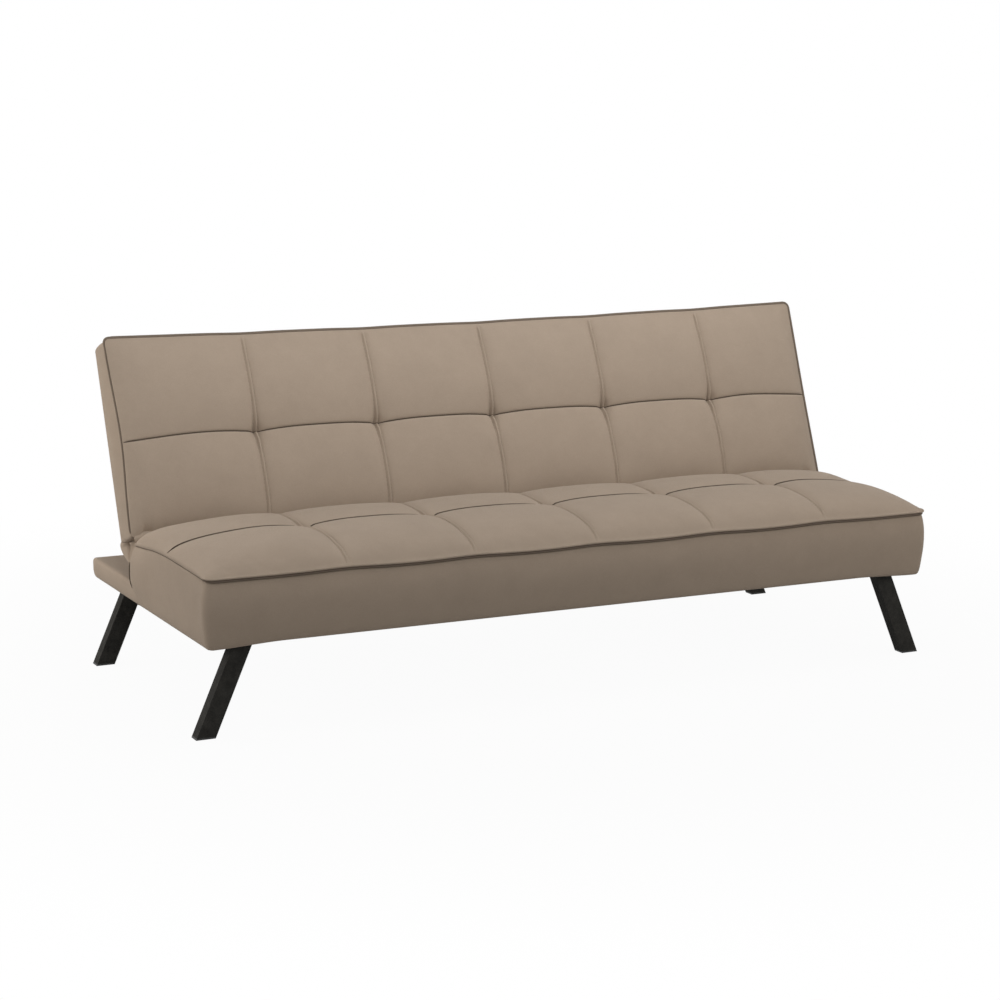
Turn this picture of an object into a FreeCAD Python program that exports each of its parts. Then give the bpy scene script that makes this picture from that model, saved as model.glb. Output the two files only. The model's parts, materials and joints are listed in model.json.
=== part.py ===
import FreeCAD, Part
import math
import os

from FreeCAD import Vector

# An armless sofa bed whose one-piece back folds down flat behind the seat.
# Millimetres. X runs along the sofa, Y to its rear, Z up. The origin is on the floor,
# under the middle. The back is drawn lying flat and then tilted up to its rest angle.

# Upholstery sizes
seat_width = 1800.0
seat_depth = 470.0
base_depth = 786.0
ground_clearance = 204.0
seat_box_height = 147.0
shelf_height = 41.0
back_overhang = 4.0
back_height = 453.0
back_thickness = 92.0
back_lean = 21.6
welt_diameter = 8.0
welt_groove_play = 0.1
welt_end_gap = 16.0
corner_radius = 16.0
shelf_edge_radius = 10.0
cover_thickness = 8.0
shelf_cover_thickness = 4.0
dust_cover_thickness = 1.5
rear_cover_thickness = 3.0

# Quilting: columns of tiles in two rows, with a tuft where the seams cross
column_count = 6
seam_shift = 18.0
seat_front_row = 248.0
back_lower_row = 218.0
roll_depth = 40.0
roll_knee_share = 0.33
roll_knee_rise_share = 0.55

# Height above the welt at the near roll, near crest, tuft line, far crest and far roll
seat_seam_rises = (30.0, 51.0, 39.0, 47.0, 30.0)
seat_tile_rises = (33.0, 58.0, 50.0, 55.0, 33.0)
back_seam_rises = (17.0, 27.0, 9.0, 21.0, 10.0)
back_tile_rises = (20.0, 35.0, 26.0, 31.0, 13.0)
end_share = 0.04
end_roll_share = 0.6

# Timber frame
board_thickness = 20.0
rail_height = 100.0
center_beam_height = 60.0
shelf_panel_thickness = 5.0
stringer_count = 3
back_frame_depth = 40.0
stile_count = 3

# Seat suspension and fillings
spring_count = 8
spring_turns = 18
spring_straight = 26.0
spring_wire = 3.8
clip_length = 14.0
clip_depth = 18.0
clip_wall = 1.5
clip_play = 0.15
felt_thickness = 3.0
foam_edge_drop = 5.0
seat_foam_crown = 20.0
back_foam_crown = 7.0
foam_inset = 70.0
strap_width = 50.0
strap_thickness = 2.0
strap_margin = 2.0
upright_strap_count = 6
cross_strap_count = 2

# Legs: rectangular tube, splayed outward, welded to a plate
leg_tube_width = 40.0
leg_tube_depth = 30.0
leg_wall = 2.0
leg_splay = 23.2
front_leg_margin = 5.0
rear_leg_margin = 17.0
leg_plate_length = 110.0
leg_plate_width = 78.0
leg_plate_thickness = 3.2
leg_plate_gap = 10.0
leg_hole_margin = 11.0
leg_block_height = 25.0
leg_block_margin = 4.0
plate_cutout_play = 2.0
foot_cap_thickness = 4.0
foot_plug_height = 12.0
foot_plug_play = 0.2
leg_bolt_diameter = 6.0
leg_bolt_head_diameter = 12.0
leg_bolt_head_height = 4.0
bolt_play = 0.3
bolt_tip = 1.0
tee_nut_wall = 1.2
tee_nut_depth = 12.0
tee_nut_flange_diameter = 18.0
tee_nut_flange_thickness = 1.5

# Hinges
hinge_gap = 12.0
pivot_drop = 6.0
hinge_plate_thickness = 4.0
hinge_washer_thickness = 1.5
hinge_washer_diameter = 22.0
pin_diameter = 10.0
pin_play = 0.05
pin_head_diameter = 17.0
pin_head_thickness = 3.0
eye_radius = 13.0
sector_radius = 24.0
sector_margin = 9.0
eye_play = 1.0
notch_radius = 3.2
detent_nose_radius = 2.6
detent_nose_gap = 0.3
detent_direction = 215.0
detent_strip_thickness = 2.0
detent_run = 45.0
detent_drop = 8.0
rivet_diameter = 4.0
rivet_head_diameter = 8.0
rivet_head_thickness = 1.5
seat_strip_length = 140.0
seat_strip_height = 40.0
seat_strip_drop = 5.0
seat_arm_foot = 44.0
back_strip_length = 130.0
back_strip_height = 32.0
back_strip_start = 16.0
back_arm_foot = 30.0
hinge_screw_count = 3
hinge_screw_diameter = 5.0
hinge_screw_play = 0.1
hinge_screw_depth = 15.0
hinge_screw_margin = 15.0
hinge_screw_head_diameter = 10.0
hinge_screw_head_thickness = 3.0
hinge_pocket_play = 3.0
gusset_thickness = 3.0
gusset_inset = 12.0
gusset_gap = 0.6
gusset_drop = 50.0
gusset_reach = 54.0
gusset_top = 5.0

# Heights
frame_bottom = ground_clearance + dust_cover_thickness
rail_top = frame_bottom + rail_height
seat_welt_z = ground_clearance + seat_box_height
shelf_top = ground_clearance + shelf_height
shelf_panel_top = shelf_top - shelf_cover_thickness
shelf_rail_top = shelf_panel_top - shelf_panel_thickness
leg_plate_bottom = frame_bottom - leg_plate_thickness
leg_block_top = frame_bottom + leg_block_height
clip_bore = spring_wire + 2 * clip_play
clip_height = clip_bore + 2 * clip_wall
spring_z = rail_top + clip_height / 2
felt_bottom = rail_top + clip_height
seat_foam_bottom = felt_bottom + felt_thickness
seat_foam_edge = seat_welt_z - foam_edge_drop

# Lengths along the sofa
seat_half = seat_width / 2
frame_half = seat_half - cover_thickness
rail_half = frame_half - board_thickness
back_half = seat_half + back_overhang
back_frame_half = back_half - cover_thickness
seat_plate_inner = rail_half - hinge_plate_thickness
back_plate_outer = seat_plate_inner - hinge_washer_thickness
back_plate_inner = back_plate_outer - hinge_plate_thickness
pocket_inner = back_plate_inner - pin_head_thickness - hinge_pocket_play
pocket_outer = rail_half + pin_head_thickness + hinge_pocket_play

# Places from front to rear
welt_radius = welt_diameter / 2
front_y = welt_radius - (base_depth + welt_radius) / 2
rear_y = front_y + base_depth
frame_front = front_y + cover_thickness
front_rail_rear = frame_front + board_thickness
seat_rear_y = front_y + seat_depth
seat_frame_rear = seat_rear_y - cover_thickness
rear_rail_front = seat_frame_rear - board_thickness
shelf_frame_rear = rear_y - shelf_cover_thickness
shelf_rail_front = shelf_frame_rear - board_thickness

# The pivot, and the back as it lies flat
pivot_y = seat_rear_y + hinge_gap / 2
pivot_z = seat_welt_z - pivot_drop
rest_tilt = 90.0 - back_lean
back_y0 = seat_rear_y + hinge_gap
back_y1 = back_y0 + back_height
back_z1 = seat_welt_z
back_z0 = back_z1 - back_thickness
back_frame_y0 = back_y0 + cover_thickness
back_frame_y1 = back_y1 - cover_thickness
back_frame_z0 = back_z0 + rear_cover_thickness
back_frame_z1 = back_frame_z0 + back_frame_depth
back_foam_bottom = back_frame_z1 + 2 * strap_thickness
back_foam_edge = back_z1 - foam_edge_drop

# Hinge strips: where each plate lies on its end rail
seat_strip_z1 = rail_top - seat_strip_drop
seat_strip_z0 = seat_strip_z1 - seat_strip_height
seat_strip_y1 = seat_frame_rear
seat_strip_y0 = seat_strip_y1 - seat_strip_length
back_strip_z0 = back_frame_z0 + (back_frame_depth - back_strip_height) / 2
back_strip_z1 = back_strip_z0 + back_strip_height
back_strip_y0 = back_frame_y0 + back_strip_start
back_strip_y1 = back_strip_y0 + back_strip_length

os.makedirs("parts", exist_ok=True)


def box(x0, x1, y0, y1, z0, z1):
    return Part.makeBox(x1 - x0, y1 - y0, z1 - z0, Vector(x0, y0, z0))


def rod(start, end, diameter):
    return Part.makeCylinder(diameter / 2, start.distanceToPoint(end), start, end - start)


def slab_yz(points, x0, x1):
    corners = [Vector(x0, y, z) for y, z in points]
    return Part.Face(Part.makePolygon(corners + corners[:1])).extrude(Vector(x1 - x0, 0, 0))


def mirrored(shape):
    return shape.mirror(Vector(0, 0, 0), Vector(1, 0, 0))


def tilted(shape):
    return shape.rotated(Vector(0, pivot_y, pivot_z), Vector(1, 0, 0), rest_tilt)


def polar(direction, radius):
    angle = math.radians(direction)
    return pivot_y + radius * math.cos(angle), pivot_z + radius * math.sin(angle)


def spread(count, half):
    return [half * ((2 * index + 1) / count - 1) for index in range(count)]


def save(name, shape):
    shape.exportStep("parts/" + name + ".step")


def save_pair(name, right):
    save(name + "_right", right)
    save(name + "_left", mirrored(right))


def save_group(name, solids):
    save(name, Part.makeCompound(solids))


# Quilted covers and the foam inside them

def pad_section(x, y0, y1, tuft_y, z, rises):
    near_roll, near_crest, tuft, far_crest, far_roll = rises

    def point(y, rise):
        return Vector(x, y, z + rise)

    knee = roll_depth * roll_knee_share
    start = point(y0, 0)
    near = point(y0 + roll_depth, near_roll)
    middle = point(tuft_y, tuft)
    far = point(y1 - roll_depth, far_roll)
    end = point(y1, 0)
    arcs = [
        (start, point(y0 + knee, near_roll * roll_knee_rise_share), near),
        (near, point((near.y + tuft_y) / 2, near_crest), middle),
        (middle, point((tuft_y + far.y) / 2, far_crest), far),
        (far, point(y1 - knee, far_roll * roll_knee_rise_share), end),
    ]
    edges = [Part.Arc(*three).toShape() for three in arcs]
    return Part.Wire(edges + [Part.makeLine(end, start)])


def scaled(rises, share):
    return tuple(rise * share for rise in rises)


def quilted_top(half, y0, y1, tuft_y, z, seam, tile):
    column = 2 * half / column_count
    seams = [-half + seam_shift + column * index for index in range(column_count + 1)]
    seams[0] = -half
    seams[-1] = half
    last = column_count - 1
    columns = []
    for index in range(column_count):
        left, right = seams[index], seams[index + 1]
        stations = [(left, scaled(seam, end_share if index == 0 else 1))]
        if index == 0:
            stations.append((left + roll_depth, scaled(tile, end_roll_share)))
        stations.append(((left + right) / 2, tile))
        if index == last:
            stations.append((right - roll_depth, scaled(tile, end_roll_share)))
        stations.append((right, scaled(seam, end_share if index == last else 1)))
        wires = [pad_section(x, y0, y1, tuft_y, z, rises) for x, rises in stations]
        columns.append(Part.makeLoft(wires, True, False))
    return columns


def rounded_prism(half, y0, y1, z0, z1):
    block = box(-half, half, y0, y1, z0, z1)
    uprights = [edge for edge in block.Edges if abs(edge.tangentAt(0).z) > 0.5]
    return block.makeFillet(corner_radius, uprights)


def foam_block(half, y0, y1, z0, z1, crown):
    block = box(-half, half, y0, y1, z0, z1)
    rims = []
    for inset, z in ((0, z1), (foam_inset, z1 + crown)):
        x, near, far = half - inset, y0 + inset, y1 - inset
        corners = [Vector(-x, near, z), Vector(x, near, z), Vector(x, far, z), Vector(-x, far, z)]
        rims.append(Part.makePolygon(corners + corners[:1]))
    return block.fuse(Part.makeLoft(rims, True, True)).removeSplitter()


def welt_path(half, y_open, y_closed, z):
    turn = math.copysign(corner_radius, y_closed - y_open)
    inner = corner_radius * (1 - math.sqrt(0.5))
    side = half - corner_radius
    y_turn = y_closed - turn
    y_mid = y_closed - math.copysign(inner, turn)

    def corner(x_end, x_mid, x_side):
        points = Vector(x_end, y_turn, z), Vector(x_mid, y_mid, z), Vector(x_side, y_closed, z)
        return Part.Arc(*points).toShape()

    edges = [
        Part.makeLine(Vector(-half, y_open, z), Vector(-half, y_turn, z)),
        corner(-half, inner - half, -side),
        Part.makeLine(Vector(-side, y_closed, z), Vector(side, y_closed, z)),
        corner(half, half - inner, side),
        Part.makeLine(Vector(half, y_turn, z), Vector(half, y_open, z)),
    ]
    return Part.Wire(edges)


def welt_tube(half, y_open, y_closed, z, diameter):
    ring = Part.Circle(Vector(-half, y_open, z), Vector(0, 1, 0), diameter / 2).toShape()
    return welt_path(half, y_open, y_closed, z).makePipeShell([Part.Wire(ring)], True, False)


def seat_welt_tube(diameter):
    return welt_tube(seat_half, seat_rear_y - welt_end_gap, front_y, seat_welt_z, diameter)


def back_welt_tube(diameter):
    return welt_tube(back_half, back_y0 + welt_end_gap, back_y1, back_z1, diameter)


def both_ends(shape):
    return [shape, mirrored(shape)]


def hinge_pockets(y0, y1, z0, z1, outer):
    return both_ends(box(pocket_inner, outer, y0, y1, z0, z1))


seat_foam_shape = foam_block(
    frame_half, frame_front, seat_frame_rear, seat_foam_bottom, seat_foam_edge, seat_foam_crown)
back_foam_shape = foam_block(
    back_frame_half, back_frame_y0, back_frame_y1, back_foam_bottom, back_foam_edge, back_foam_crown)
pocket_radius = sector_radius + hinge_pocket_play
seat_pocket_y = pivot_y - detent_run - hinge_pocket_play
back_pocket_y = back_strip_y0 + back_arm_foot + hinge_pocket_play


def make_seat_cover():
    tops = quilted_top(seat_half, front_y, seat_rear_y, front_y + seat_front_row, seat_welt_z,
                       seat_seam_rises, seat_tile_rises)
    body = box(-seat_half, seat_half, front_y, seat_rear_y, ground_clearance, seat_welt_z)
    tallest = seat_welt_z + max(seat_tile_rises) + cover_thickness
    form = body.fuse(tops).removeSplitter()
    outline = rounded_prism(seat_half, front_y, seat_rear_y + corner_radius, ground_clearance, tallest)
    hollow = box(-frame_half, frame_half, frame_front, seat_frame_rear, ground_clearance, seat_foam_edge)
    shelf_way = box(-frame_half, frame_half, seat_frame_rear, seat_rear_y, ground_clearance, shelf_top)
    slots = hinge_pockets(pivot_y - pocket_radius, seat_rear_y, seat_strip_z0 - hinge_pocket_play,
                          pivot_z + pocket_radius, pocket_outer)
    groove = seat_welt_tube(welt_diameter + 2 * welt_groove_play)
    return form.common(outline).cut([hollow, seat_foam_shape, shelf_way, groove] + slots)


def make_back_cover():
    tops = quilted_top(back_half, back_y0, back_y1, back_y0 + back_lower_row, back_z1,
                       back_seam_rises, back_tile_rises)
    body = box(-back_half, back_half, back_y0, back_y1, back_z0, back_z1)
    tallest = back_z1 + max(back_tile_rises) + cover_thickness
    form = body.fuse(tops).removeSplitter()
    outline = rounded_prism(back_half, back_y0 - corner_radius, back_y1, back_z0, tallest)
    hollow = box(-back_frame_half, back_frame_half, back_frame_y0, back_frame_y1, back_z0, back_foam_edge)
    slots = hinge_pockets(back_y0, pivot_y + pocket_radius, back_strip_z0 - hinge_pocket_play,
                          pivot_z + pocket_radius, pocket_outer)
    groove = back_welt_tube(welt_diameter + 2 * welt_groove_play)
    return form.common(outline).cut([hollow, back_foam_shape, groove] + slots)


def make_shelf_cover():
    shell = box(-seat_half, seat_half, seat_rear_y, rear_y, ground_clearance, shelf_top)
    middle = (seat_rear_y + rear_y) / 2

    def is_outer(edge):
        center = edge.CenterOfMass
        top = center.z > shelf_top - shelf_cover_thickness
        end = abs(center.x) > frame_half
        rear = center.y > middle
        return (top and end) or (top and rear and not end) or (rear and end)

    shell = shell.makeFillet(shelf_edge_radius, [edge for edge in shell.Edges if is_outer(edge)])
    hollow = box(-frame_half, frame_half, seat_rear_y, shelf_frame_rear, ground_clearance, shelf_panel_top)
    return shell.cut(hollow)


save("seat_cover", make_seat_cover())
save("seat_welt", seat_welt_tube(welt_diameter))
save("seat_foam", seat_foam_shape.cut(hinge_pockets(
    seat_pocket_y, seat_frame_rear, seat_foam_bottom, seat_welt_z + seat_foam_crown, frame_half)))
save("shelf_cover", make_shelf_cover())
save("back_cover", tilted(make_back_cover()))
save("back_welt", tilted(back_welt_tube(welt_diameter)))
save("back_foam", tilted(back_foam_shape.cut(hinge_pockets(
    back_frame_y0, back_pocket_y, back_foam_bottom, back_z1 + back_foam_crown, back_frame_half))))
save("back_rear_cover", tilted(
    box(-back_frame_half, back_frame_half, back_frame_y0, back_frame_y1, back_z0, back_frame_z0)))


# Hinge plates, pins, detents and screws, drawn for the right end

def screw_row(y0, y1):
    step = (y1 - y0 - 2 * hinge_screw_margin) / (hinge_screw_count - 1)
    return [y0 + hinge_screw_margin + step * index for index in range(hinge_screw_count)]


seat_screw_z = seat_strip_z0 + hinge_screw_margin
back_screw_z = (back_strip_z0 + back_strip_z1) / 2
seat_screws_at = [(y, seat_screw_z) for y in screw_row(seat_strip_y0, rear_rail_front)]
back_screws_at = [(y, back_screw_z) for y in screw_row(back_strip_y0, back_strip_y1)]
detent_foot = (pivot_y - sector_radius - detent_run + detent_drop, seat_strip_z1 - detent_drop)


def along_x(y, z, x0, x1, diameter):
    return rod(Vector(x0, y, z), Vector(x1, y, z), diameter)


def hinge_eye(x0, x1):
    return along_x(pivot_y, pivot_z, x0, x1, 2 * eye_radius)


def pin_hole(x0, x1):
    return along_x(pivot_y, pivot_z, x0, x1, pin_diameter + 2 * pin_play)


def hinge_sector(first, last, x0, x1):
    center = Vector(x0, pivot_y, pivot_z)
    rim = [Vector(x0, *polar(angle, sector_radius)) for angle in (first, (first + last) / 2, last)]
    edges = [Part.makeLine(center, rim[0]), Part.Arc(*rim).toShape(), Part.makeLine(rim[2], center)]
    return Part.Face(Part.Wire(edges)).extrude(Vector(x1 - x0, 0, 0))


def make_seat_plate():
    x0, x1 = seat_plate_inner, rail_half
    strip = box(x0, x1, seat_strip_y0, seat_strip_y1, seat_strip_z0, seat_strip_z1)
    arm = slab_yz([
        (pivot_y - eye_radius, pivot_z),
        (pivot_y + eye_radius, pivot_z),
        (seat_strip_y1, seat_strip_z0),
        (seat_strip_y1 - seat_arm_foot, seat_strip_z1)], x0, x1)
    plate = strip.fuse([arm, hinge_eye(x0, x1)]).removeSplitter()
    holes = [along_x(y, z, x0, x1, hinge_screw_diameter + 2 * hinge_screw_play) for y, z in seat_screws_at]
    holes.append(along_x(*detent_foot, x0, x1, rivet_diameter))
    return plate.cut(holes + [pin_hole(x0, x1)])


def make_back_plate():
    x0, x1 = back_plate_inner, back_plate_outer
    strip = box(x0, x1, back_strip_y0, back_strip_y1, back_strip_z0, back_strip_z1)
    arm = slab_yz([
        (pivot_y, pivot_z + eye_radius),
        (pivot_y, pivot_z - eye_radius),
        (back_strip_y0, back_strip_z0),
        (back_strip_y0 + back_arm_foot, back_strip_z1)], x0, x1)
    stops = (detent_direction - rest_tilt, detent_direction)
    sector = hinge_sector(stops[0] - sector_margin, stops[1] + sector_margin, x0, x1)
    plate = strip.fuse([arm, sector, hinge_eye(x0, x1)]).removeSplitter()
    notches = [along_x(*polar(angle, sector_radius), x0, x1, 2 * notch_radius) for angle in stops]
    holes = [along_x(y, z, x0, x1, hinge_screw_diameter + 2 * hinge_screw_play) for y, z in back_screws_at]
    return plate.cut(notches + holes + [pin_hole(x0, x1)])


def make_detent():
    x0, x1 = seat_plate_inner - hinge_plate_thickness, seat_plate_inner
    nose_y, nose_z = polar(detent_direction, sector_radius + detent_nose_gap)
    foot_y, foot_z = detent_foot
    run = math.hypot(nose_y - foot_y, nose_z - foot_z)
    side_y = -(nose_z - foot_z) / run * detent_strip_thickness / 2
    side_z = (nose_y - foot_y) / run * detent_strip_thickness / 2
    strip = slab_yz([
        (foot_y + side_y, foot_z + side_z),
        (foot_y - side_y, foot_z - side_z),
        (nose_y - side_y, nose_z - side_z),
        (nose_y + side_y, nose_z + side_z)], x0, x1)
    nose = along_x(nose_y, nose_z, x0, x1, 2 * detent_nose_radius)
    foot = along_x(foot_y, foot_z, x0, x1, rivet_head_diameter)
    return strip.fuse([nose, foot]).removeSplitter().cut(along_x(foot_y, foot_z, x0, x1, rivet_diameter))


def make_rivet():
    x0 = seat_plate_inner - hinge_plate_thickness
    shank = along_x(*detent_foot, x0, rail_half, rivet_diameter)
    head = along_x(*detent_foot, x0 - rivet_head_thickness, x0, rivet_head_diameter)
    return shank.fuse(head).removeSplitter()


def make_pin():
    x0, x1 = back_plate_inner, rail_half
    shank = along_x(pivot_y, pivot_z, x0 - pin_head_thickness, x1 + pin_head_thickness, pin_diameter)
    heads = [along_x(pivot_y, pivot_z, x0 - pin_head_thickness, x0, pin_head_diameter),
             along_x(pivot_y, pivot_z, x1, x1 + pin_head_thickness, pin_head_diameter)]
    return shank.fuse(heads).removeSplitter()


def make_washer():
    x0, x1 = back_plate_outer, seat_plate_inner
    return along_x(pivot_y, pivot_z, x0, x1, hinge_washer_diameter).cut(pin_hole(x0, x1))


def make_screws(places, head_x, tip_x):
    screws = []
    for y, z in places:
        shank = along_x(y, z, head_x, tip_x, hinge_screw_diameter)
        head = along_x(y, z, head_x - hinge_screw_head_thickness, head_x, hinge_screw_head_diameter)
        screws += both_ends(shank.fuse(head).removeSplitter())
    return screws


def screw_holes(places, x0, depth):
    return [along_x(y, z, x0, x0 + depth, hinge_screw_diameter) for y, z in places]


def make_gusset():
    x1 = seat_half - gusset_inset
    lean = math.radians(rest_tilt)
    lip = hinge_gap / 2 - gusset_gap

    def under_back(distance):
        y = pivot_y + lip * math.cos(lean) + distance * math.sin(lean)
        z = pivot_z + lip * math.sin(lean) - distance * math.cos(lean)
        return y, z

    seat_side = seat_rear_y + gusset_gap
    return slab_yz([
        (seat_side, pivot_z - gusset_drop),
        (seat_side, pivot_z - gusset_top),
        under_back(0),
        under_back(gusset_reach)], x1 - gusset_thickness, x1)


save_pair("hinge_seat_plate", make_seat_plate())
save_pair("hinge_back_plate", tilted(make_back_plate()))
save_pair("hinge_detent_spring", make_detent())
save_pair("hinge_pivot_pin", make_pin())
save_pair("hinge_washer", make_washer())
save_pair("hinge_gusset", make_gusset())
save_group("hinge_detent_rivets", both_ends(make_rivet()))
save_group("hinge_seat_screws", make_screws(
    seat_screws_at, seat_plate_inner, rail_half + hinge_screw_depth))
save_group("hinge_back_screws", [tilted(screw) for screw in make_screws(
    back_screws_at, back_plate_inner, back_plate_outer + hinge_screw_depth)])


# Timber frame of the base

def make_end_rail():
    side = slab_yz([
        (frame_front, frame_bottom),
        (shelf_frame_rear, frame_bottom),
        (shelf_frame_rear, shelf_rail_top),
        (seat_frame_rear, shelf_rail_top),
        (seat_frame_rear, rail_top),
        (frame_front, rail_top)], rail_half, frame_half)
    return side.cut(screw_holes(seat_screws_at, rail_half, hinge_screw_depth))


save_pair("base_end_rail", make_end_rail())
save("base_front_rail", box(-rail_half, rail_half, frame_front, front_rail_rear, frame_bottom, rail_top))
save("base_rear_rail", box(
    -seat_plate_inner, seat_plate_inner, rear_rail_front, seat_frame_rear, frame_bottom, rail_top))
save("base_shelf_rail", box(
    -rail_half, rail_half, shelf_rail_front, shelf_frame_rear, frame_bottom, shelf_rail_top))
save("base_center_beam", box(
    -board_thickness / 2, board_thickness / 2, front_rail_rear, rear_rail_front,
    frame_bottom, frame_bottom + center_beam_height))
save_group("base_shelf_stringers", [
    box(x - board_thickness / 2, x + board_thickness / 2, seat_frame_rear, shelf_rail_front,
        frame_bottom, shelf_rail_top) for x in spread(stringer_count, rail_half)])
save("shelf_panel", box(
    -frame_half, frame_half, seat_rear_y, shelf_frame_rear, shelf_rail_top, shelf_panel_top))


# Seat suspension

def half_turn(x, y, side, radius):
    slant = radius * math.sqrt(0.5)
    start = Vector(x, y, spring_z)
    apex = Vector(x + side * radius, y + radius, spring_z)
    end = Vector(x, y + 2 * radius, spring_z)
    first = Vector(x + side * slant, y + radius - slant, spring_z)
    second = Vector(x + side * slant, y + radius + slant, spring_z)
    return [Part.Arc(start, first, apex).toShape(), Part.Arc(apex, second, end).toShape()]


def make_spring():
    front = frame_front + board_thickness / 2
    rear = seat_frame_rear - board_thickness / 2
    pitch = (rear - front) / spring_turns
    reach = spring_straight / 2
    edges = []
    for turn in range(spring_turns + 1):
        side = 1 if turn % 2 == 0 else -1
        y = front + turn * pitch
        edges.append(Part.makeLine(Vector(-side * reach, y, spring_z), Vector(side * reach, y, spring_z)))
        if turn < spring_turns:
            edges += half_turn(side * reach, y, side, pitch / 2)
    ring = Part.Circle(Vector(-reach, front, spring_z), Vector(1, 0, 0), spring_wire / 2).toShape()
    return Part.Wire(edges).makePipeShell([Part.Wire(ring)], True, False)


def make_clip(x, y):
    block = box(x - clip_length / 2, x + clip_length / 2, y - clip_depth / 2, y + clip_depth / 2,
                rail_top, felt_bottom)
    bore = rod(Vector(x - clip_length, y, spring_z), Vector(x + clip_length, y, spring_z), clip_bore)
    return block.cut(bore)


spring_places = spread(spring_count, seat_plate_inner)
clip_rows = (frame_front + board_thickness / 2, seat_frame_rear - board_thickness / 2)
one_spring = make_spring()
save_group("seat_sinuous_springs", [one_spring.translated(Vector(x, 0, 0)) for x in spring_places])
save_group("seat_spring_clips", [make_clip(x, y) for x in spring_places for y in clip_rows])
save("seat_felt_pad", box(
    -frame_half, frame_half, frame_front, seat_frame_rear, felt_bottom, seat_foam_bottom).cut(
    hinge_pockets(seat_pocket_y, seat_frame_rear, felt_bottom, seat_foam_bottom, frame_half)))


# Legs, their blocks and fasteners

splay_slope = math.tan(math.radians(leg_splay))
leg_level_width = leg_tube_width / math.cos(math.radians(leg_splay))
leg_level_wall = leg_wall / math.cos(math.radians(leg_splay))
leg_plate_x = rail_half - leg_plate_gap - leg_plate_length / 2
leg_top_outer = leg_plate_x + leg_level_width / 2
leg_block_width = leg_plate_width + 2 * leg_block_margin
front_block = (front_rail_rear, front_rail_rear + leg_block_width)
rear_block = (shelf_rail_front - leg_block_width, shelf_rail_front)
leg_rows = {
    "front": (front_rail_rear + front_leg_margin, front_block),
    "rear": (shelf_rail_front - rear_leg_margin - leg_tube_depth, rear_block),
}
hole_x = leg_plate_length / 2 - leg_hole_margin
hole_y = leg_plate_width / 2 - leg_hole_margin
tee_nut_diameter = leg_bolt_diameter + 2 * (bolt_play + tee_nut_wall)


def leg_prism(y0, z0, z1, inset_x, inset_y):
    low = leg_top_outer + (leg_plate_bottom - z0) * splay_slope
    x0, x1 = low - leg_level_width + inset_x, low - inset_x
    near, far = y0 + inset_y, y0 + leg_tube_depth - inset_y
    corners = [Vector(x0, near, z0), Vector(x1, near, z0), Vector(x1, far, z0), Vector(x0, far, z0)]
    section = Part.Face(Part.makePolygon(corners + corners[:1]))
    return section.extrude(Vector((z0 - z1) * splay_slope, 0, z1 - z0))


def block_holes(block):
    middle = sum(block) / 2
    return [(leg_plate_x + dx, middle + dy) for dx in (-hole_x, hole_x) for dy in (-hole_y, hole_y)]


def upright(place, z0, z1, diameter):
    x, y = place
    return rod(Vector(x, y, z0), Vector(x, y, z1), diameter)


def plate_box(block, grow, z0, z1):
    middle = sum(block) / 2
    reach_x = leg_plate_length / 2 + grow
    reach_y = leg_plate_width / 2 + grow
    return box(leg_plate_x - reach_x, leg_plate_x + reach_x, middle - reach_y, middle + reach_y, z0, z1)


def make_leg(y0, block):
    tube = leg_prism(y0, foot_cap_thickness, leg_plate_bottom, 0, 0)
    bore = leg_prism(y0, foot_cap_thickness, leg_plate_bottom, leg_level_wall, leg_wall)
    plate = plate_box(block, 0, leg_plate_bottom, frame_bottom)
    clear = leg_bolt_diameter + 2 * bolt_play
    holes = [upright(place, leg_plate_bottom, frame_bottom, clear) for place in block_holes(block)]
    return tube.cut(bore).fuse(plate).removeSplitter().cut(holes)


def make_foot_cap(y0):
    sole = leg_prism(y0, 0, foot_cap_thickness, 0, 0)
    plug = leg_prism(y0, foot_cap_thickness, foot_cap_thickness + foot_plug_height,
                     leg_level_wall + foot_plug_play, leg_wall + foot_plug_play)
    return sole.fuse(plug).removeSplitter()


def make_leg_block(block):
    x0 = leg_plate_x - leg_plate_length / 2 - leg_block_margin
    solid = box(x0, rail_half, *block, frame_bottom, leg_block_top)
    for place in block_holes(block):
        solid = solid.cut([
            upright(place, frame_bottom, leg_block_top, leg_bolt_diameter + 2 * bolt_play),
            upright(place, leg_block_top - tee_nut_depth, leg_block_top, tee_nut_diameter)])
    return solid


def make_leg_bolt(place):
    tip = leg_block_top + tee_nut_flange_thickness + bolt_tip
    shank = upright(place, leg_plate_bottom, tip, leg_bolt_diameter)
    head = upright(place, leg_plate_bottom - leg_bolt_head_height, leg_plate_bottom, leg_bolt_head_diameter)
    return shank.fuse(head).removeSplitter()


def make_tee_nut(place):
    flange_top = leg_block_top + tee_nut_flange_thickness
    barrel = upright(place, leg_block_top - tee_nut_depth, leg_block_top, tee_nut_diameter)
    flange = upright(place, leg_block_top, flange_top, tee_nut_flange_diameter)
    bore = upright(place, leg_block_top - tee_nut_depth, flange_top, leg_bolt_diameter + 2 * bolt_play)
    return barrel.fuse(flange).removeSplitter().cut(bore)


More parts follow.
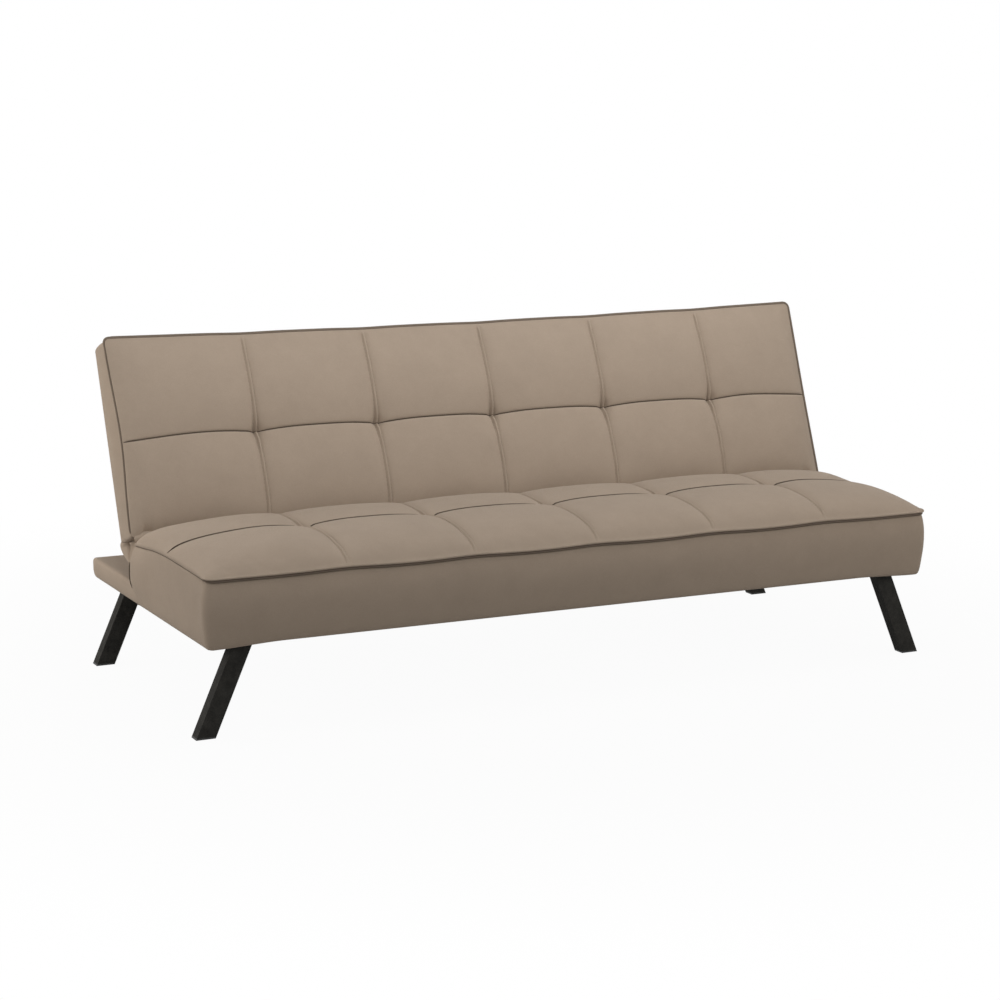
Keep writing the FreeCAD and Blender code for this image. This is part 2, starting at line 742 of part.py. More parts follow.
leg_blocks = []
leg_bolts = []
tee_nuts = []
dust_openings = []
for row, (tube_y, block) in leg_rows.items():
    save_pair("leg_" + row, make_leg(tube_y, block))
    save_pair("foot_cap_" + row, make_foot_cap(tube_y))
    leg_blocks += both_ends(make_leg_block(block))
    dust_openings += both_ends(plate_box(block, plate_cutout_play, ground_clearance, frame_bottom))
    for place in block_holes(block):
        leg_bolts += both_ends(make_leg_bolt(place))
        tee_nuts += both_ends(make_tee_nut(place))
save_group("leg_blocks", leg_blocks)
save_group("leg_bolts", leg_bolts)
save_group("leg_tee_nuts", tee_nuts)
dust_sheet = box(-frame_half, frame_half, frame_front, shelf_frame_rear, ground_clearance, frame_bottom)
save("dust_cover", dust_sheet.cut(dust_openings))


# Timber frame and webbing of the back

def back_box(x0, x1, y0, y1, z0=back_frame_z0, z1=back_frame_z1):
    return tilted(box(x0, x1, y0, y1, z0, z1))


def make_back_end_rail():
    start = max(back_frame_y0, pivot_y + eye_radius + eye_play)
    rail = box(back_plate_outer, back_frame_half, start, back_frame_y1, back_frame_z0, back_frame_z1)
    return tilted(rail.cut(screw_holes(back_screws_at, back_plate_outer, hinge_screw_depth)))


bottom_rail_y1 = back_frame_y0 + board_thickness
top_rail_y0 = back_frame_y1 - board_thickness
half_strap = strap_width / 2
cross_strap_step = (back_frame_y1 - back_frame_y0) / (cross_strap_count + 1)
cross_strap_places = [back_frame_y0 + cross_strap_step * (index + 1) for index in range(cross_strap_count)]
save_pair("back_end_rail", make_back_end_rail())
save("back_bottom_rail", back_box(-back_plate_inner, back_plate_inner, back_frame_y0, bottom_rail_y1))
save("back_top_rail", back_box(-back_plate_outer, back_plate_outer, top_rail_y0, back_frame_y1))
save_group("back_stiles", [
    back_box(x - board_thickness / 2, x + board_thickness / 2, bottom_rail_y1, top_rail_y0)
    for x in spread(stile_count, back_plate_inner)])
save_group("back_upright_webbing", [
    back_box(x - half_strap, x + half_strap, back_frame_y0 + strap_margin, back_frame_y1 - strap_margin,
             back_frame_z1, back_frame_z1 + strap_thickness)
    for x in spread(upright_strap_count, back_plate_inner)])
save_group("back_cross_webbing", [
    back_box(strap_margin - back_frame_half, back_frame_half - strap_margin, y - half_strap, y + half_strap,
             back_frame_z1 + strap_thickness, back_foam_bottom)
    for y in cross_strap_places])
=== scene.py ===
import json
import math

import bpy
import numpy as np
from mathutils import Matrix, Vector


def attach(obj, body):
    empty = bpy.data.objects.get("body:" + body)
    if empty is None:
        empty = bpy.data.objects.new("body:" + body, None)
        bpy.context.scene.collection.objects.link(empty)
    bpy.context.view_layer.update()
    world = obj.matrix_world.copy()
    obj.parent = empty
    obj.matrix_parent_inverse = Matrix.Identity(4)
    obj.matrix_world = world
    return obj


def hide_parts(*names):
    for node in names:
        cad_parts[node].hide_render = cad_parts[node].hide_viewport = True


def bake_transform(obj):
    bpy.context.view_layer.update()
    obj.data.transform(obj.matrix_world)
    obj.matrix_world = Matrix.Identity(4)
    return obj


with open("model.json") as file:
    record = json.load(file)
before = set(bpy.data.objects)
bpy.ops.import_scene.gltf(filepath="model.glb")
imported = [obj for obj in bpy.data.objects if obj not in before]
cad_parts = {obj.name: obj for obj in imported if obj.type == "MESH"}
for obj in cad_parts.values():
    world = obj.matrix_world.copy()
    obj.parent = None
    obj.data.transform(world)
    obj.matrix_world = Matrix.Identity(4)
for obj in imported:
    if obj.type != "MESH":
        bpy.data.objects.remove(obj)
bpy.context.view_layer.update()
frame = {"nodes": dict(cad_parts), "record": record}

# A quilted sofa bed. Shapes are worked out in millimetres, in the solids' own frame, and become
# metres when a mesh is made. Pieces of the back are drawn lying flat and tilted by their object.

MM = 0.001
scene = bpy.context.scene

# Sizes that the solids also have
SEAT_HALF = 900.0
FRONT_Y = -391.0
SEAT_DEPTH = 470.0
SEAT_REAR_Y = FRONT_Y + SEAT_DEPTH
SHELF_REAR_Y = 395.0
SHELF_TOP = 245.0
UNDERSIDE = 204.0
WELT_Z = 351.0
BACK_HALF = 904.0
BACK_Y0 = 91.0
BACK_HEIGHT = 453.0
BACK_THICKNESS = 92.0
PIVOT_Y = 85.0
PIVOT_Z = 345.0
REST_TILT = 68.4
COLUMNS = 6
SEAT_ROW = 248.0
BACK_ROW = 218.0
HINGE_X = 867.5

# Spacing of mesh lines beside a seam and in from an edge
SEAM_LINES = (1, 2, 3, 4, 5, 6.2, 7.8, 10, 13, 17, 23)
EDGE_LINES = (2, 4.5, 8, 12, 17, 23, 30)
HINGE_LINES = (3, 6, 8.5, 10.5, 13, 17)
FIELD_STEP = 10.0
CLOTH_STEP = 9.0
CLOTH_FRAMES = 22
CLOTH_CAP = 6.0


# Small helpers

def spline(knots, at):
    """Weights that carry values at the knots to the places in at, along a smooth curve."""
    knots = np.asarray(knots, float)
    at = np.clip(at, knots[0], knots[-1])
    low = np.clip(np.searchsorted(knots, at, side="right") - 1, 0, len(knots) - 2)
    gap = knots[low + 1] - knots[low]
    t = (at - knots[low]) / gap
    weights = np.zeros((len(at), len(knots)))
    rows = np.arange(len(at))

    def add(knot, share):
        np.add.at(weights, (rows, knot), share)

    add(low, 2 * t**3 - 3 * t**2 + 1)
    add(low + 1, 3 * t**2 - 2 * t**3)
    for knot, share in ((low, (t**3 - 2 * t**2 + t) * gap), (low + 1, (t**3 - t**2) * gap)):
        before = np.maximum(knot - 1, 0)
        after = np.minimum(knot + 1, len(knots) - 1)
        add(after, share / (knots[after] - knots[before]))
        add(before, -share / (knots[after] - knots[before]))
    return weights


def profile(knots, at):
    """The value at each place of a smooth curve through (place, value) knots."""
    places, values = np.array(knots, float).T
    at = np.asarray(at, float)
    return (spline(places, at.ravel()) @ values).reshape(at.shape)


def ease(value, start, end):
    t = np.clip((np.asarray(value, float) - start) / (end - start), 0, 1)
    return t * t * (3 - 2 * t)


def bell(distance, width):
    return np.exp(-(distance / width) ** 2)


def unit(vectors):
    return vectors / np.linalg.norm(vectors, axis=-1, keepdims=True)


def lattice(x, s):
    return np.meshgrid(x, s, indexing="ij")


def fill_lines(stops, step):
    """Lines at every stop, with even ones between stops that lie further apart than step."""
    lines = []
    for first, last in zip(stops, stops[1:]):
        count = max(1, round((last - first) / step))
        lines.extend(np.linspace(first, last, count, endpoint=False))
    return np.array(lines + [stops[-1]])


def seam_stops(low, high, seams, hinges=()):
    stops = {low, high, *(low + edge for edge in EDGE_LINES), *(high - edge for edge in EDGE_LINES)}
    for places, offsets in ((seams, SEAM_LINES), (hinges, HINGE_LINES)):
        stops.update(place + side * offset for place in places for offset in (0, *offsets) for side in (-1, 1))
    return sorted(stops)


def grid_faces(rows, columns, start=0):
    index = np.arange(rows * columns).reshape(rows, columns) + start
    corners = (index[:-1, :-1], index[1:, :-1], index[1:, 1:], index[:-1, 1:])
    return np.stack([corner.ravel() for corner in corners], 1).tolist()


def ring_faces(first, second):
    """Faces between two closed rings of vertex numbers that run anticlockwise, the second below."""
    after = np.roll(first, -1), np.roll(second, -1)
    return np.stack([first, second, after[1], after[0]], 1).tolist()


def tube_faces(number):
    """Faces of a closed tube, from the vertex numbers of its rings."""
    faces = []
    for first, second in zip(number, number[1:]):
        faces += ring_faces(second, first)
    return faces + [number[0].tolist(), number[-1][::-1].tolist()]


def make_object(name, points, faces, material, flat_back=False):
    """A smooth-shaded mesh from points in millimetres; flat_back tilts it up as the back is at rest."""
    mesh = bpy.data.meshes.new(name)
    mesh.from_pydata((np.asarray(points).reshape(-1, 3) * MM).tolist(), [], faces)
    mesh.shade_smooth()
    mesh.materials.append(material)
    mesh.update()
    made = bpy.data.objects.new(name, mesh)
    scene.collection.objects.link(made)
    if flat_back:
        made.matrix_world = BACK_AT_REST
    return made


pivot = Vector((0, PIVOT_Y * MM, PIVOT_Z * MM))
BACK_AT_REST = (Matrix.Translation(pivot) @ Matrix.Rotation(math.radians(REST_TILT), 4, "X")
                @ Matrix.Translation(-pivot))


# Materials

class Nodes:
    """Adds nodes to a tree and joins them up."""

    def __init__(self, tree):
        self.tree = tree

    def add(self, kind, inputs=(), **settings):
        node = self.tree.nodes.new(kind)
        for key, value in settings.items():
            setattr(node, key, value)
        self.put(node, inputs)
        return node

    def put(self, node, inputs):
        """Gives each of a node's inputs its value or its link."""
        for socket, value in dict(inputs).items():
            if isinstance(value, bpy.types.NodeSocket):
                self.tree.links.new(value, node.inputs[socket])
            else:
                node.inputs[socket].default_value = value

    def math(self, operation, first, second):
        return self.add("ShaderNodeMath", {0: first, 1: second}, operation=operation).outputs[0]

    def mixed(self, first, second, share):
        return self.math("ADD", self.math("MULTIPLY", first, 1 - share), self.math("MULTIPLY", second, share))

    def span(self, value, low, high):
        return self.add("ShaderNodeMapRange", {"Value": value, "To Min": low, "To Max": high}).outputs["Result"]

    def seen_directly(self):
        """1 for what the camera, a mirror or glass sees, and 0 for light on its way to a surface."""
        path = self.add("ShaderNodeLightPath")
        total = path.outputs["Is Camera Ray"]
        for name in ("Is Glossy Ray", "Is Transmission Ray"):
            total = self.math("MAXIMUM", total, path.outputs[name])
        return total


class Surface(Nodes):
    """A new material whose shader is a Principled BSDF."""

    def __init__(self, name, colour, roughness, settings):
        self.material = bpy.data.materials.new(name)
        self.material.use_nodes = True
        self.material.diffuse_color = (*colour, 1)
        super().__init__(self.material.node_tree)
        self.shader = self.tree.nodes["Principled BSDF"]
        self.put(self.shader, {"Base Color": (*colour, 1), "Roughness": roughness, **settings})
        where = self.add("ShaderNodeTexCoord")
        self.place, self.facing = where.outputs["Object"], where.outputs["Normal"]

    def noise(self, scale, detail=2.0, rough=0.5, stretch=(1, 1, 1)):
        moved = self.add("ShaderNodeMapping", {"Vector": self.place, "Scale": stretch})
        node = self.add("ShaderNodeTexNoise", {
            "Vector": moved.outputs["Vector"], "Scale": scale, "Detail": detail, "Roughness": rough})
        return node.outputs["Fac"]

    def ramp(self, value, dark, light, start=0.3, end=0.7):
        node = self.add("ShaderNodeValToRGB", {"Fac": value})
        for element, place, colour in zip(node.color_ramp.elements, (start, end), (dark, light)):
            element.position = place
            element.color = (*colour, 1)
        return node.outputs["Color"]

    def finish(self, colour, roughness, height, distance):
        """Gives the shader its colour, roughness and fine relief."""
        bump = self.add("ShaderNodeBump", {"Height": height, "Distance": distance, "Strength": 1.0})
        self.put(self.shader, {"Base Color": colour, "Roughness": roughness, "Normal": bump.outputs["Normal"]})
        return self.material

    def weave(self, threads_per_metre):
        """Crossing threads along the object's three axes, each only on faces that the axis runs along."""
        scale = 2 * math.pi * threads_per_metre
        turns = self.add("ShaderNodeVectorMath", {0: self.place, "Scale": scale}, operation="SCALE")
        apart = self.add("ShaderNodeSeparateXYZ", {0: turns.outputs["Vector"]})
        facing = self.add("ShaderNodeSeparateXYZ", {0: self.facing})
        total = 0.0
        for axis, normal in zip(apart.outputs, facing.outputs):
            along = self.math("SUBTRACT", 1.0, self.math("MULTIPLY", normal, normal))
            wave = self.math("SINE", axis, 0.0)
            total = self.math("ADD", total, self.math("MULTIPLY", wave, self.math("POWER", along, 3.0)))
        return total


def shade(colour, share):
    return tuple(channel * share for channel in colour)


def fabric(name, colour, contrast, threads=900.0, thread_height=0.00022, sheen=0.08):
    """Woven cloth: threads in relief, yarn that varies a little, and a broad, faint unevenness."""
    cloth = Surface(name, colour, 0.88, {
        "Sheen Weight": sheen, "Sheen Roughness": 0.45, "Specular IOR Level": 0.25})
    yarn = cloth.noise(420.0, 3.0)
    cloud = cloth.noise(11.0, 5.0, 0.75)
    mixed = cloth.mixed(yarn, cloud, 0.55)
    relief = cloth.math("ADD", cloth.math("MULTIPLY", cloth.weave(threads), 0.33), yarn)
    return cloth.finish(cloth.ramp(mixed, shade(colour, 1 - contrast), shade(colour, 1 + contrast)),
                        cloth.span(yarn, 0.82, 0.94), relief, thread_height)


def painted_metal():
    paint = Surface("leg_powder_coat", (0.04, 0.039, 0.036), 0.65, {"Specular IOR Level": 0.03})
    speck = paint.noise(520.0, 3.0, 0.65)
    patch = paint.noise(60.0, 4.0)
    return paint.finish(paint.ramp(paint.mixed(speck, patch, 0.4), (0.018, 0.018, 0.017), (0.062, 0.060, 0.055)),
                        paint.span(speck, 0.55, 0.8), speck, 0.0004)


def bare_metal(name, colour, roughness):
    steel = Surface(name, colour, roughness, {"Metallic": 1.0})
    brushed = steel.noise(260.0, 3.0, 0.6, (1, 1, 0.05))
    return steel.finish(steel.ramp(brushed, shade(colour, 0.82), shade(colour, 1.1)),
                        steel.span(brushed, roughness - 0.08, roughness + 0.12), brushed, 0.00008)


def timber(name, light, dark, stretch):
    wood = Surface(name, light, 0.62, {"Specular IOR Level": 0.3})
    grain = wood.noise(26.0, 6.0, 0.62, stretch)
    fibre = wood.noise(160.0, 2.0, 0.5, stretch)
    return wood.finish(wood.ramp(grain, dark, light, 0.36, 0.62), wood.span(fibre, 0.5, 0.75), fibre, 0.0002)


def moulded(name, colour, roughness):
    plastic = Surface(name, colour, roughness, {"Specular IOR Level": 0.4})
    grain = plastic.noise(700.0, 2.0)
    return plastic.finish(plastic.ramp(grain, shade(colour, 0.9), shade(colour, 1.08)),
                          plastic.span(grain, roughness - 0.06, roughness + 0.08), grain, 0.00006)


TAUPE = (0.370, 0.295, 0.229)
upholstery = fabric("taupe_upholstery", TAUPE, 0.075)
# The piping is a slightly darker cord than the cover. Its colour is darkened well past that as painted shade for the
# shadowed line along each welt.
piping = fabric("piping_with_painted_shade", (0.16, 0.125, 0.095), 0.08, 1100.0, 0.00016, 0.05)
thread = fabric("sewing_thread", (0.31, 0.25, 0.195), 0.1, 1600.0, 0.0001, 0.0)
# Painted shade: a near-black colour for the tubes that stand for the shadow in the row grooves and in the slits at the
# seat's ends.
seam_shadow_paint = fabric("seam_shadow_line", (0.085, 0.066, 0.050), 0.1, 1600.0, 0.0001, 0.0)
dust_cloth = fabric("black_dust_cloth", (0.022, 0.022, 0.022), 0.3, 500.0, 0.0002, 0.0)
strap_cloth = fabric("elastic_webbing", (0.16, 0.16, 0.145), 0.2, 400.0, 0.0005, 0.1)
node_materials = {
    "timber": timber("planed_softwood", (0.62, 0.44, 0.26), (0.44, 0.28, 0.14), (0.06, 1, 1)),
    "plywood": timber("sanded_plywood", (0.58, 0.43, 0.27), (0.45, 0.31, 0.18), (0.1, 1, 1)),
    "spring_steel": bare_metal("oiled_spring_wire", (0.40, 0.41, 0.42), 0.38),
    "zinc_steel": bare_metal("zinc_plate", (0.60, 0.61, 0.62), 0.34),
    "clip_plastic": moulded("clip_plastic", (0.78, 0.78, 0.75), 0.5),
    "foot_plastic": moulded("foot_plastic", (0.015, 0.015, 0.015), 0.55),
    "washer_nylon": moulded("washer_nylon", (0.80, 0.79, 0.74), 0.45),
    "leg_paint": painted_metal(),
    "webbing": strap_cloth,
}


# Quilted pads

PILLOW_POWER = 2.5
TUCK_WIDTH = 11.0
TUCK_REACH = 60.0
WAVE_REACH = 45.0
BOW_WIDTH = 55.0
BOW_REACH = 70.0
BOW_END = 200.0
EDGE_REACH = 140.0
SEAM_FADE = (2, 16)
ROW_FADE = (0, 7)
ROW_BREAK = 0.5
ROW_BREAK_WIDTH = 3.0
FAR_MARGIN = 30.0
TUFT_WIDTH = 13.0
PINCH = 1.3
PINCH_REACH = 35.0
FRONT_LIFT = 1.6
FRONT_SAG = 2.5
LIFT_WIDTH = 80.0
SIDE_WAVE = ((0, 0), (120, 1.5), (248, 3), (330, 0), (410, -8), (470, -14))
TOP_SAG = 9.0
TOP_DIP = 1.5
DIP_WIDTH = 60.0


class Panel:
    """A sewn panel on its rounded outline, in a flat frame: x along the sofa, s from its near edge."""

    edge_pull = (0.0, 0.0)

    def __init__(self, half, depth, y0, radii, x, s):
        self.half, self.depth, self.y0, self.x, self.s = half, depth, y0, x, s
        self.near_radius, self.far_radius = radii

    def slide(self, x, s, tucked):
        """How far the sewn outline moves along s."""
        return np.zeros_like(x)

    def wave(self, x, s):
        """How far the sewn edge rises or dips."""
        return np.zeros_like(x)

    def outline(self, x, s, far_radius=None, tucked=1.0):
        """Plan places with the corners rounded and the edges moved as sewn."""
        along = self.slide(x, s, tucked)
        pulled = tucked * np.where(x < 0, -self.edge_pull[0], self.edge_pull[1]) * bell(s - self.depth / 2, EDGE_REACH)
        pulled = pulled * ease(np.abs(x), self.half - EDGE_REACH, self.half)
        edges = ((0.0, self.near_radius, 1), (self.depth, far_radius or self.far_radius, -1))
        for side in (-1, 1):
            for edge, radius, inward in edges:
                a = np.clip((side * x - (self.half - radius)) / radius, 0, 1)
                b = np.clip((radius - inward * (s - edge)) / radius, 0, 1)
                x = x - side * radius * (a - a * np.sqrt(1 - b * b / 2))
                s = s + inward * radius * (b - b * np.sqrt(1 - a * a / 2))
        return x - pulled, s + along

    def border(self):
        """The edge, anticlockwise from the near left corner: (x, s) as drawn and the side each is on."""
        x, s = self.x, self.s
        runs = {"near": [(at, 0.0) for at in x[:-1]], "right": [(x[-1], at) for at in s[:-1]],
                "far": [(at, s[-1]) for at in x[:0:-1]], "left": [(x[0], at) for at in s[:0:-1]]}
        sides = np.repeat(list(runs), [len(run) for run in runs.values()])
        return np.concatenate(list(runs.values())), sides

    def border_numbers(self):
        rows, columns = len(self.x), len(self.s)
        number = np.arange(rows * columns).reshape(rows, columns)
        return np.concatenate([number[:-1, 0], number[-1, :-1], number[:0:-1, -1], number[0, :0:-1]])


class Pad(Panel):
    """A quilted panel, whose h runs up from its welt."""

    def __init__(self, half, depth, row, y0, knots, radii, relief):
        column = 2 * half / COLUMNS
        self.seams = [self.seam_shift + column * (number - COLUMNS // 2) for number in range(1, COLUMNS)]
        self.bounds = [-half, *self.seams, half]
        self.row = row
        self.seam_knots, self.tile_knots = knots
        self.column_relief, self.row_relief, self.tuft_depth = relief
        x = fill_lines(seam_stops(-half, half, self.seams, (-HINGE_X, HINGE_X)), FIELD_STEP)
        s = fill_lines(seam_stops(0.0, depth, [row]), FIELD_STEP)
        super().__init__(half, depth, y0, radii, x, s)

    def crown(self, x, s):
        """Height of the plain pillows over a grid of lines, before any seam is pressed in."""
        bounds = np.array(self.bounds)
        column = np.clip(np.searchsorted(bounds, x, side="right") - 1, 0, COLUMNS - 1)
        left, right = bounds[column], bounds[column + 1]
        off_middle = (x - (left + right) / 2) / ((right - left) / 2)
        outer = ((column == 0) & (off_middle < 0)) | ((column == COLUMNS - 1) & (off_middle > 0))
        fullness = 1 - np.where(outer, 0, np.abs(off_middle)) ** PILLOW_POWER
        from_end = self.half - np.abs(x)
        far = ease(s, self.row + FAR_MARGIN, self.depth - FAR_MARGIN)
        end_roll = np.outer(profile(self.end_roll, from_end), 1 - far) + np.outer(profile(self.far_roll, from_end), far)
        seam = profile(self.seam_knots, s)
        tile = profile(self.tile_knots, s)
        return (seam + np.outer(fullness, tile - seam)) * end_roll

    def from_seam(self, x):
        return np.min([np.abs(x - seam) for seam in self.seams], 0)

    def relief(self, x, s):
        """The sewn lines themselves: raised ribs between columns, a sharp groove between rows."""
        off_column, off_row = self.from_seam(x), np.abs(s - self.row)
        start, end = SEAM_FADE
        along_s = ease(s, *self.near_fade) * (1 - ease(s, self.depth - end, self.depth - start))
        along_x = ease(self.half - np.abs(x), *ROW_FADE)
        pinched = along_s * (1 + PINCH * bell(off_row, PINCH_REACH))
        columns = np.outer(profile(self.column_relief, off_column), pinched)
        rows = np.outer(along_x, profile(self.row_relief, off_row))
        tufts = np.outer(bell(off_column, TUFT_WIDTH), bell(off_row, TUFT_WIDTH))
        rows *= (1 - ROW_BREAK * bell(off_column, ROW_BREAK_WIDTH))[:, None]
        return columns + rows - self.tuft_depth * tufts

    def bow(self, x, s):
        """How far the seam between rows curves away from the tufts."""
        inner = ease(self.half - np.abs(x), 0, BOW_END)
        curve = (1 - bell(self.from_seam(x), BOW_WIDTH)) * inner - (1 - inner)
        return self.row_bow * curve * bell(s - self.row, BOW_REACH)

    def tuck(self, x):
        """How far the fabric draws in round each hinge."""
        return self.tuck_depth * np.exp(-((np.abs(x) - HINGE_X) / TUCK_WIDTH) ** 8)


class SeatPad(Pad):
    end_roll = ((0, 0.09), (6, 0.22), (14, 0.34), (26, 0.46), (42, 0.57), (65, 0.68), (100, 0.79), (150, 0.89),
                (220, 0.98), (280, 1))
    far_roll = ((0, 0.09), (6, 0.38), (14, 0.55), (26, 0.65), (42, 0.71), (65, 0.76), (100, 0.81), (150, 0.89),
                (220, 0.98), (280, 1))
    seam_shift = 18.0
    near_fade = (0.0, 6.0)
    tuck_depth = 22.5
    row_bow = 4.0
    welt_side = "near"

    def slide(self, x, s, tucked):
        return -tucked * self.tuck(x) * ease(s, self.depth - TUCK_REACH, self.depth) + self.bow(x, s)

    def wave(self, x, s):
        lift = FRONT_LIFT * (2 * bell(self.from_seam(x), LIFT_WIDTH) - 1) - FRONT_SAG * (1 - (x / self.half) ** 2)
        side = profile(SIDE_WAVE, s)
        return lift * np.exp(-s / WAVE_REACH) + side * np.exp((np.abs(x) - self.half) / WAVE_REACH)


class BackPad(Pad):
    end_roll = ((0, 0.09), (6, 0.26), (14, 0.42), (26, 0.57), (42, 0.70), (65, 0.83), (100, 0.94), (150, 1))
    far_roll = end_roll
    seam_shift = 25.0
    near_fade = (2.0, 16.0)
    tuck_depth = 9.0
    edge_pull = (10.0, 1.5)
    row_bow = 3.5
    welt_side = "far"

    def slide(self, x, s, tucked):
        sag = TOP_SAG * (1 - (x / self.half) ** 2) + TOP_DIP * bell(self.from_seam(x), DIP_WIDTH)
        drawn_in = tucked * self.tuck(x) * (1 - ease(s, 0, TUCK_REACH))
        return drawn_in - tucked * sag * ease(s, self.row, self.depth) + self.bow(x, s)

seat_pad = SeatPad(
    SEAT_HALF, SEAT_DEPTH, SEAT_ROW, FRONT_Y,
    knots=(((0, 5), (7, 15), (18, 24), (36, 32), (62, 39), (110, 47), (165, 50), (212, 46), (248, 39),
            (284, 43.5), (330, 46), (375, 45), (415, 38), (445, 26), (460, 15), (470, 3)),
           ((0, 5), (7, 17), (18, 28), (36, 38), (62, 47), (105, 55), (150, 58), (205, 55.5), (248, 50),
            (290, 54), (335, 55.5), (380, 51.5), (418, 42), (446, 28), (460, 16), (470, 3))),
    radii=(19.0, 14.0),
    relief=(((0, 0.9), (1.3, 0.6), (2.4, -0.8), (3.8, -2.8), (5.2, -3.0), (9, -1.8), (16, -0.6), (23, 0)),
            ((0, -1.8), (1.0, -1.7), (2.0, -1.0), (4, -0.4), (8, 0)),
            3.0))
back_pad = BackPad(
    BACK_HALF, BACK_HEIGHT, BACK_ROW, BACK_Y0,
    knots=(((0, 3), (8, 10), (22, 17), (60, 24), (110, 26), (165, 22), (200, 14), (218, 9), (236, 14),
            (265, 18.5), (305, 20), (375, 15), (420, 8.5), (440, 5), (453, 2)),
           ((0, 3), (8, 12), (22, 20), (60, 30), (110, 35), (165, 32.5), (200, 28), (218, 26), (236, 28),
            (280, 31), (325, 30), (380, 23), (420, 13), (440, 7.5), (453, 2))),
    radii=(5.0, 9.0),
    relief=(((0, 1.6), (1.3, 1.3), (2.4, -0.4), (3.8, -3.0), (5.2, -3.2), (9, -2.0), (15, -0.8), (23, 0)),
            ((0, -3.6), (1.0, -3.0), (2.0, -1.4), (4, -0.4), (8, 0)),
            5.0))


SLACK_WIDTH = 45.0
CLOTH_SETTINGS = {
    "quality": 5, "mass": 0.35, "tension_stiffness": 12.0, "compression_stiffness": 12.0,
    "shear_stiffness": 6.0, "bending_stiffness": 1.5, "air_damping": 2.0, "vertex_group_mass": "sewn",
    "vertex_group_shrink": "slack", "shrink_min": -0.002, "shrink_max": -0.014,
    "use_pressure": True, "uniform_pressure_force": 3.0,
}


def settle(pad):
    """Cloth sewn down along its seams and edges and filled from inside: its lines, and how it moves."""
    rows = [0.0, pad.row, pad.depth]
    x, s = fill_lines(pad.bounds, CLOTH_STEP), fill_lines(rows, CLOTH_STEP)
    start = np.stack([*lattice(x, s), pad.crown(x, s)], -1)
    cloth = make_object("cloth", start, grid_faces(len(x), len(s)), upholstery)
    on_x, on_s = np.isin(x, pad.bounds), np.isin(s, rows)
    sewn = cloth.vertex_groups.new(name="sewn")
    sewn.add(np.flatnonzero((on_x[:, None] | on_s[None, :]).ravel()).tolist(), 1.0, "REPLACE")
    slack = cloth.vertex_groups.new(name="slack")
    near_column, near_row = bell(pad.from_seam(x), SLACK_WIDTH), bell(s - pad.row, SLACK_WIDTH)
    for number, weight in enumerate(np.maximum(near_column[:, None], near_row[None, :]).ravel()):
        slack.add([number], float(weight), "REPLACE")
    modifier = cloth.modifiers.new("cloth", "CLOTH")
    for key, value in CLOTH_SETTINGS.items():
        setattr(modifier.settings, key, value)
    modifier.settings.effector_weights.gravity = 0
    modifier.point_cache.frame_end = CLOTH_FRAMES
    for number in range(1, CLOTH_FRAMES + 1):
        scene.frame_set(number)
    settled = cloth.evaluated_get(bpy.context.evaluated_depsgraph_get()).to_mesh()
    end = np.empty(3 * len(settled.vertices))
    settled.vertices.foreach_get("co", end)
    bpy.data.objects.remove(cloth)
    scene.frame_set(1)
    move = end.reshape(start.shape) / MM - start
    length = np.linalg.norm(move, axis=-1, keepdims=True)
    return x, s, move * np.minimum(1, CLOTH_CAP / np.maximum(length, 1e-6))


def quilted_top(pad):
    x, s = pad.x, pad.s
    cloth_x, cloth_s, move = settle(pad)
    across, along = spline(cloth_x, x), spline(cloth_s, s)
    shift = [across @ move[..., axis] @ along.T for axis in range(3)]
    grid_x, grid_s = lattice(x, s)
    plan_x, plan_s = pad.outline(grid_x, grid_s)
    height = pad.crown(x, s) + shift[2] + pad.relief(x, s) + pad.wave(grid_x, grid_s)
    places = [plan_x + shift[0], plan_s + shift[1] + pad.y0, WELT_Z + height]
    return np.stack(places, -1).reshape(-1, 3)


def edge_path(panel, far_radius=None, tucked=1.0):
    """The sewn edge: its plan, outward directions, rise or dip, places as drawn, and sides."""
    drawn, sides = panel.border()
    x, s = panel.outline(drawn[:, 0], drawn[:, 1], far_radius, tucked)
    plan = np.stack([x, s + panel.y0], -1)
    tangent = np.roll(plan, -1, 0) - np.roll(plan, 1, 0)
    outward = unit(np.stack([tangent[:, 1], -tangent[:, 0]], -1))
    return plan, outward, panel.wave(drawn[:, 0], drawn[:, 1]), drawn, sides


def ring(plan, outward, out, z):
    """Points at one height, set out from the edge."""
    out = np.broadcast_to(out, len(plan))[:, None]
    z = np.broadcast_to(z, len(plan))[:, None]
    return np.hstack([plan + outward * out, z])


def inner_ring(panel, plan, outward, inset, z):
    """Points at one height, set in from the edge, with square corners."""
    made = ring(plan, outward, -inset / 2, z)
    edge = panel.half - inset
    made[:, 0] = np.clip(made[:, 0], -edge, edge)
    made[:, 1] = np.clip(made[:, 1], panel.y0 + inset, panel.y0 + panel.depth - inset)
    return made


def skirt(points, faces, numbers, rings):
    """Adds rings below one another under the ring with these vertex numbers; returns the last ring's."""
    count = sum(len(part) for part in points)
    for made in rings:
        below = np.arange(len(made)) + count
        faces += ring_faces(numbers, below)
        points.append(made)
        numbers, count = below, count + len(made)
    return numbers


CORNER_BLEND = (8, 60)
SEAT_LIP = (
    ((1, 5), (3.4, 3.4), (4.4, 1.2), (3.8, -0.6), (0.8, -1.6), (-6, -2.2), (-14, -3.5)),
    ((0.2, 5), (0.9, 2.6), (1, 0.2), (0.6, -2.2), (-0.6, -3.6), (-6, -4.2), (-14, -4.6)))
BACK_LIP = (
    ((0, 2.6), (1.4, 1.4), (1.2, -0.6), (-1.6, -1.8), (-6, -2.4), (-12, -3.4)),
    ((0, 2.6), (1.2, 1.2), (1, -0.6), (-1.6, -1.8), (-6, -2.4), (-12, -3.4)))
PAD_FLOOR = (10, 12)


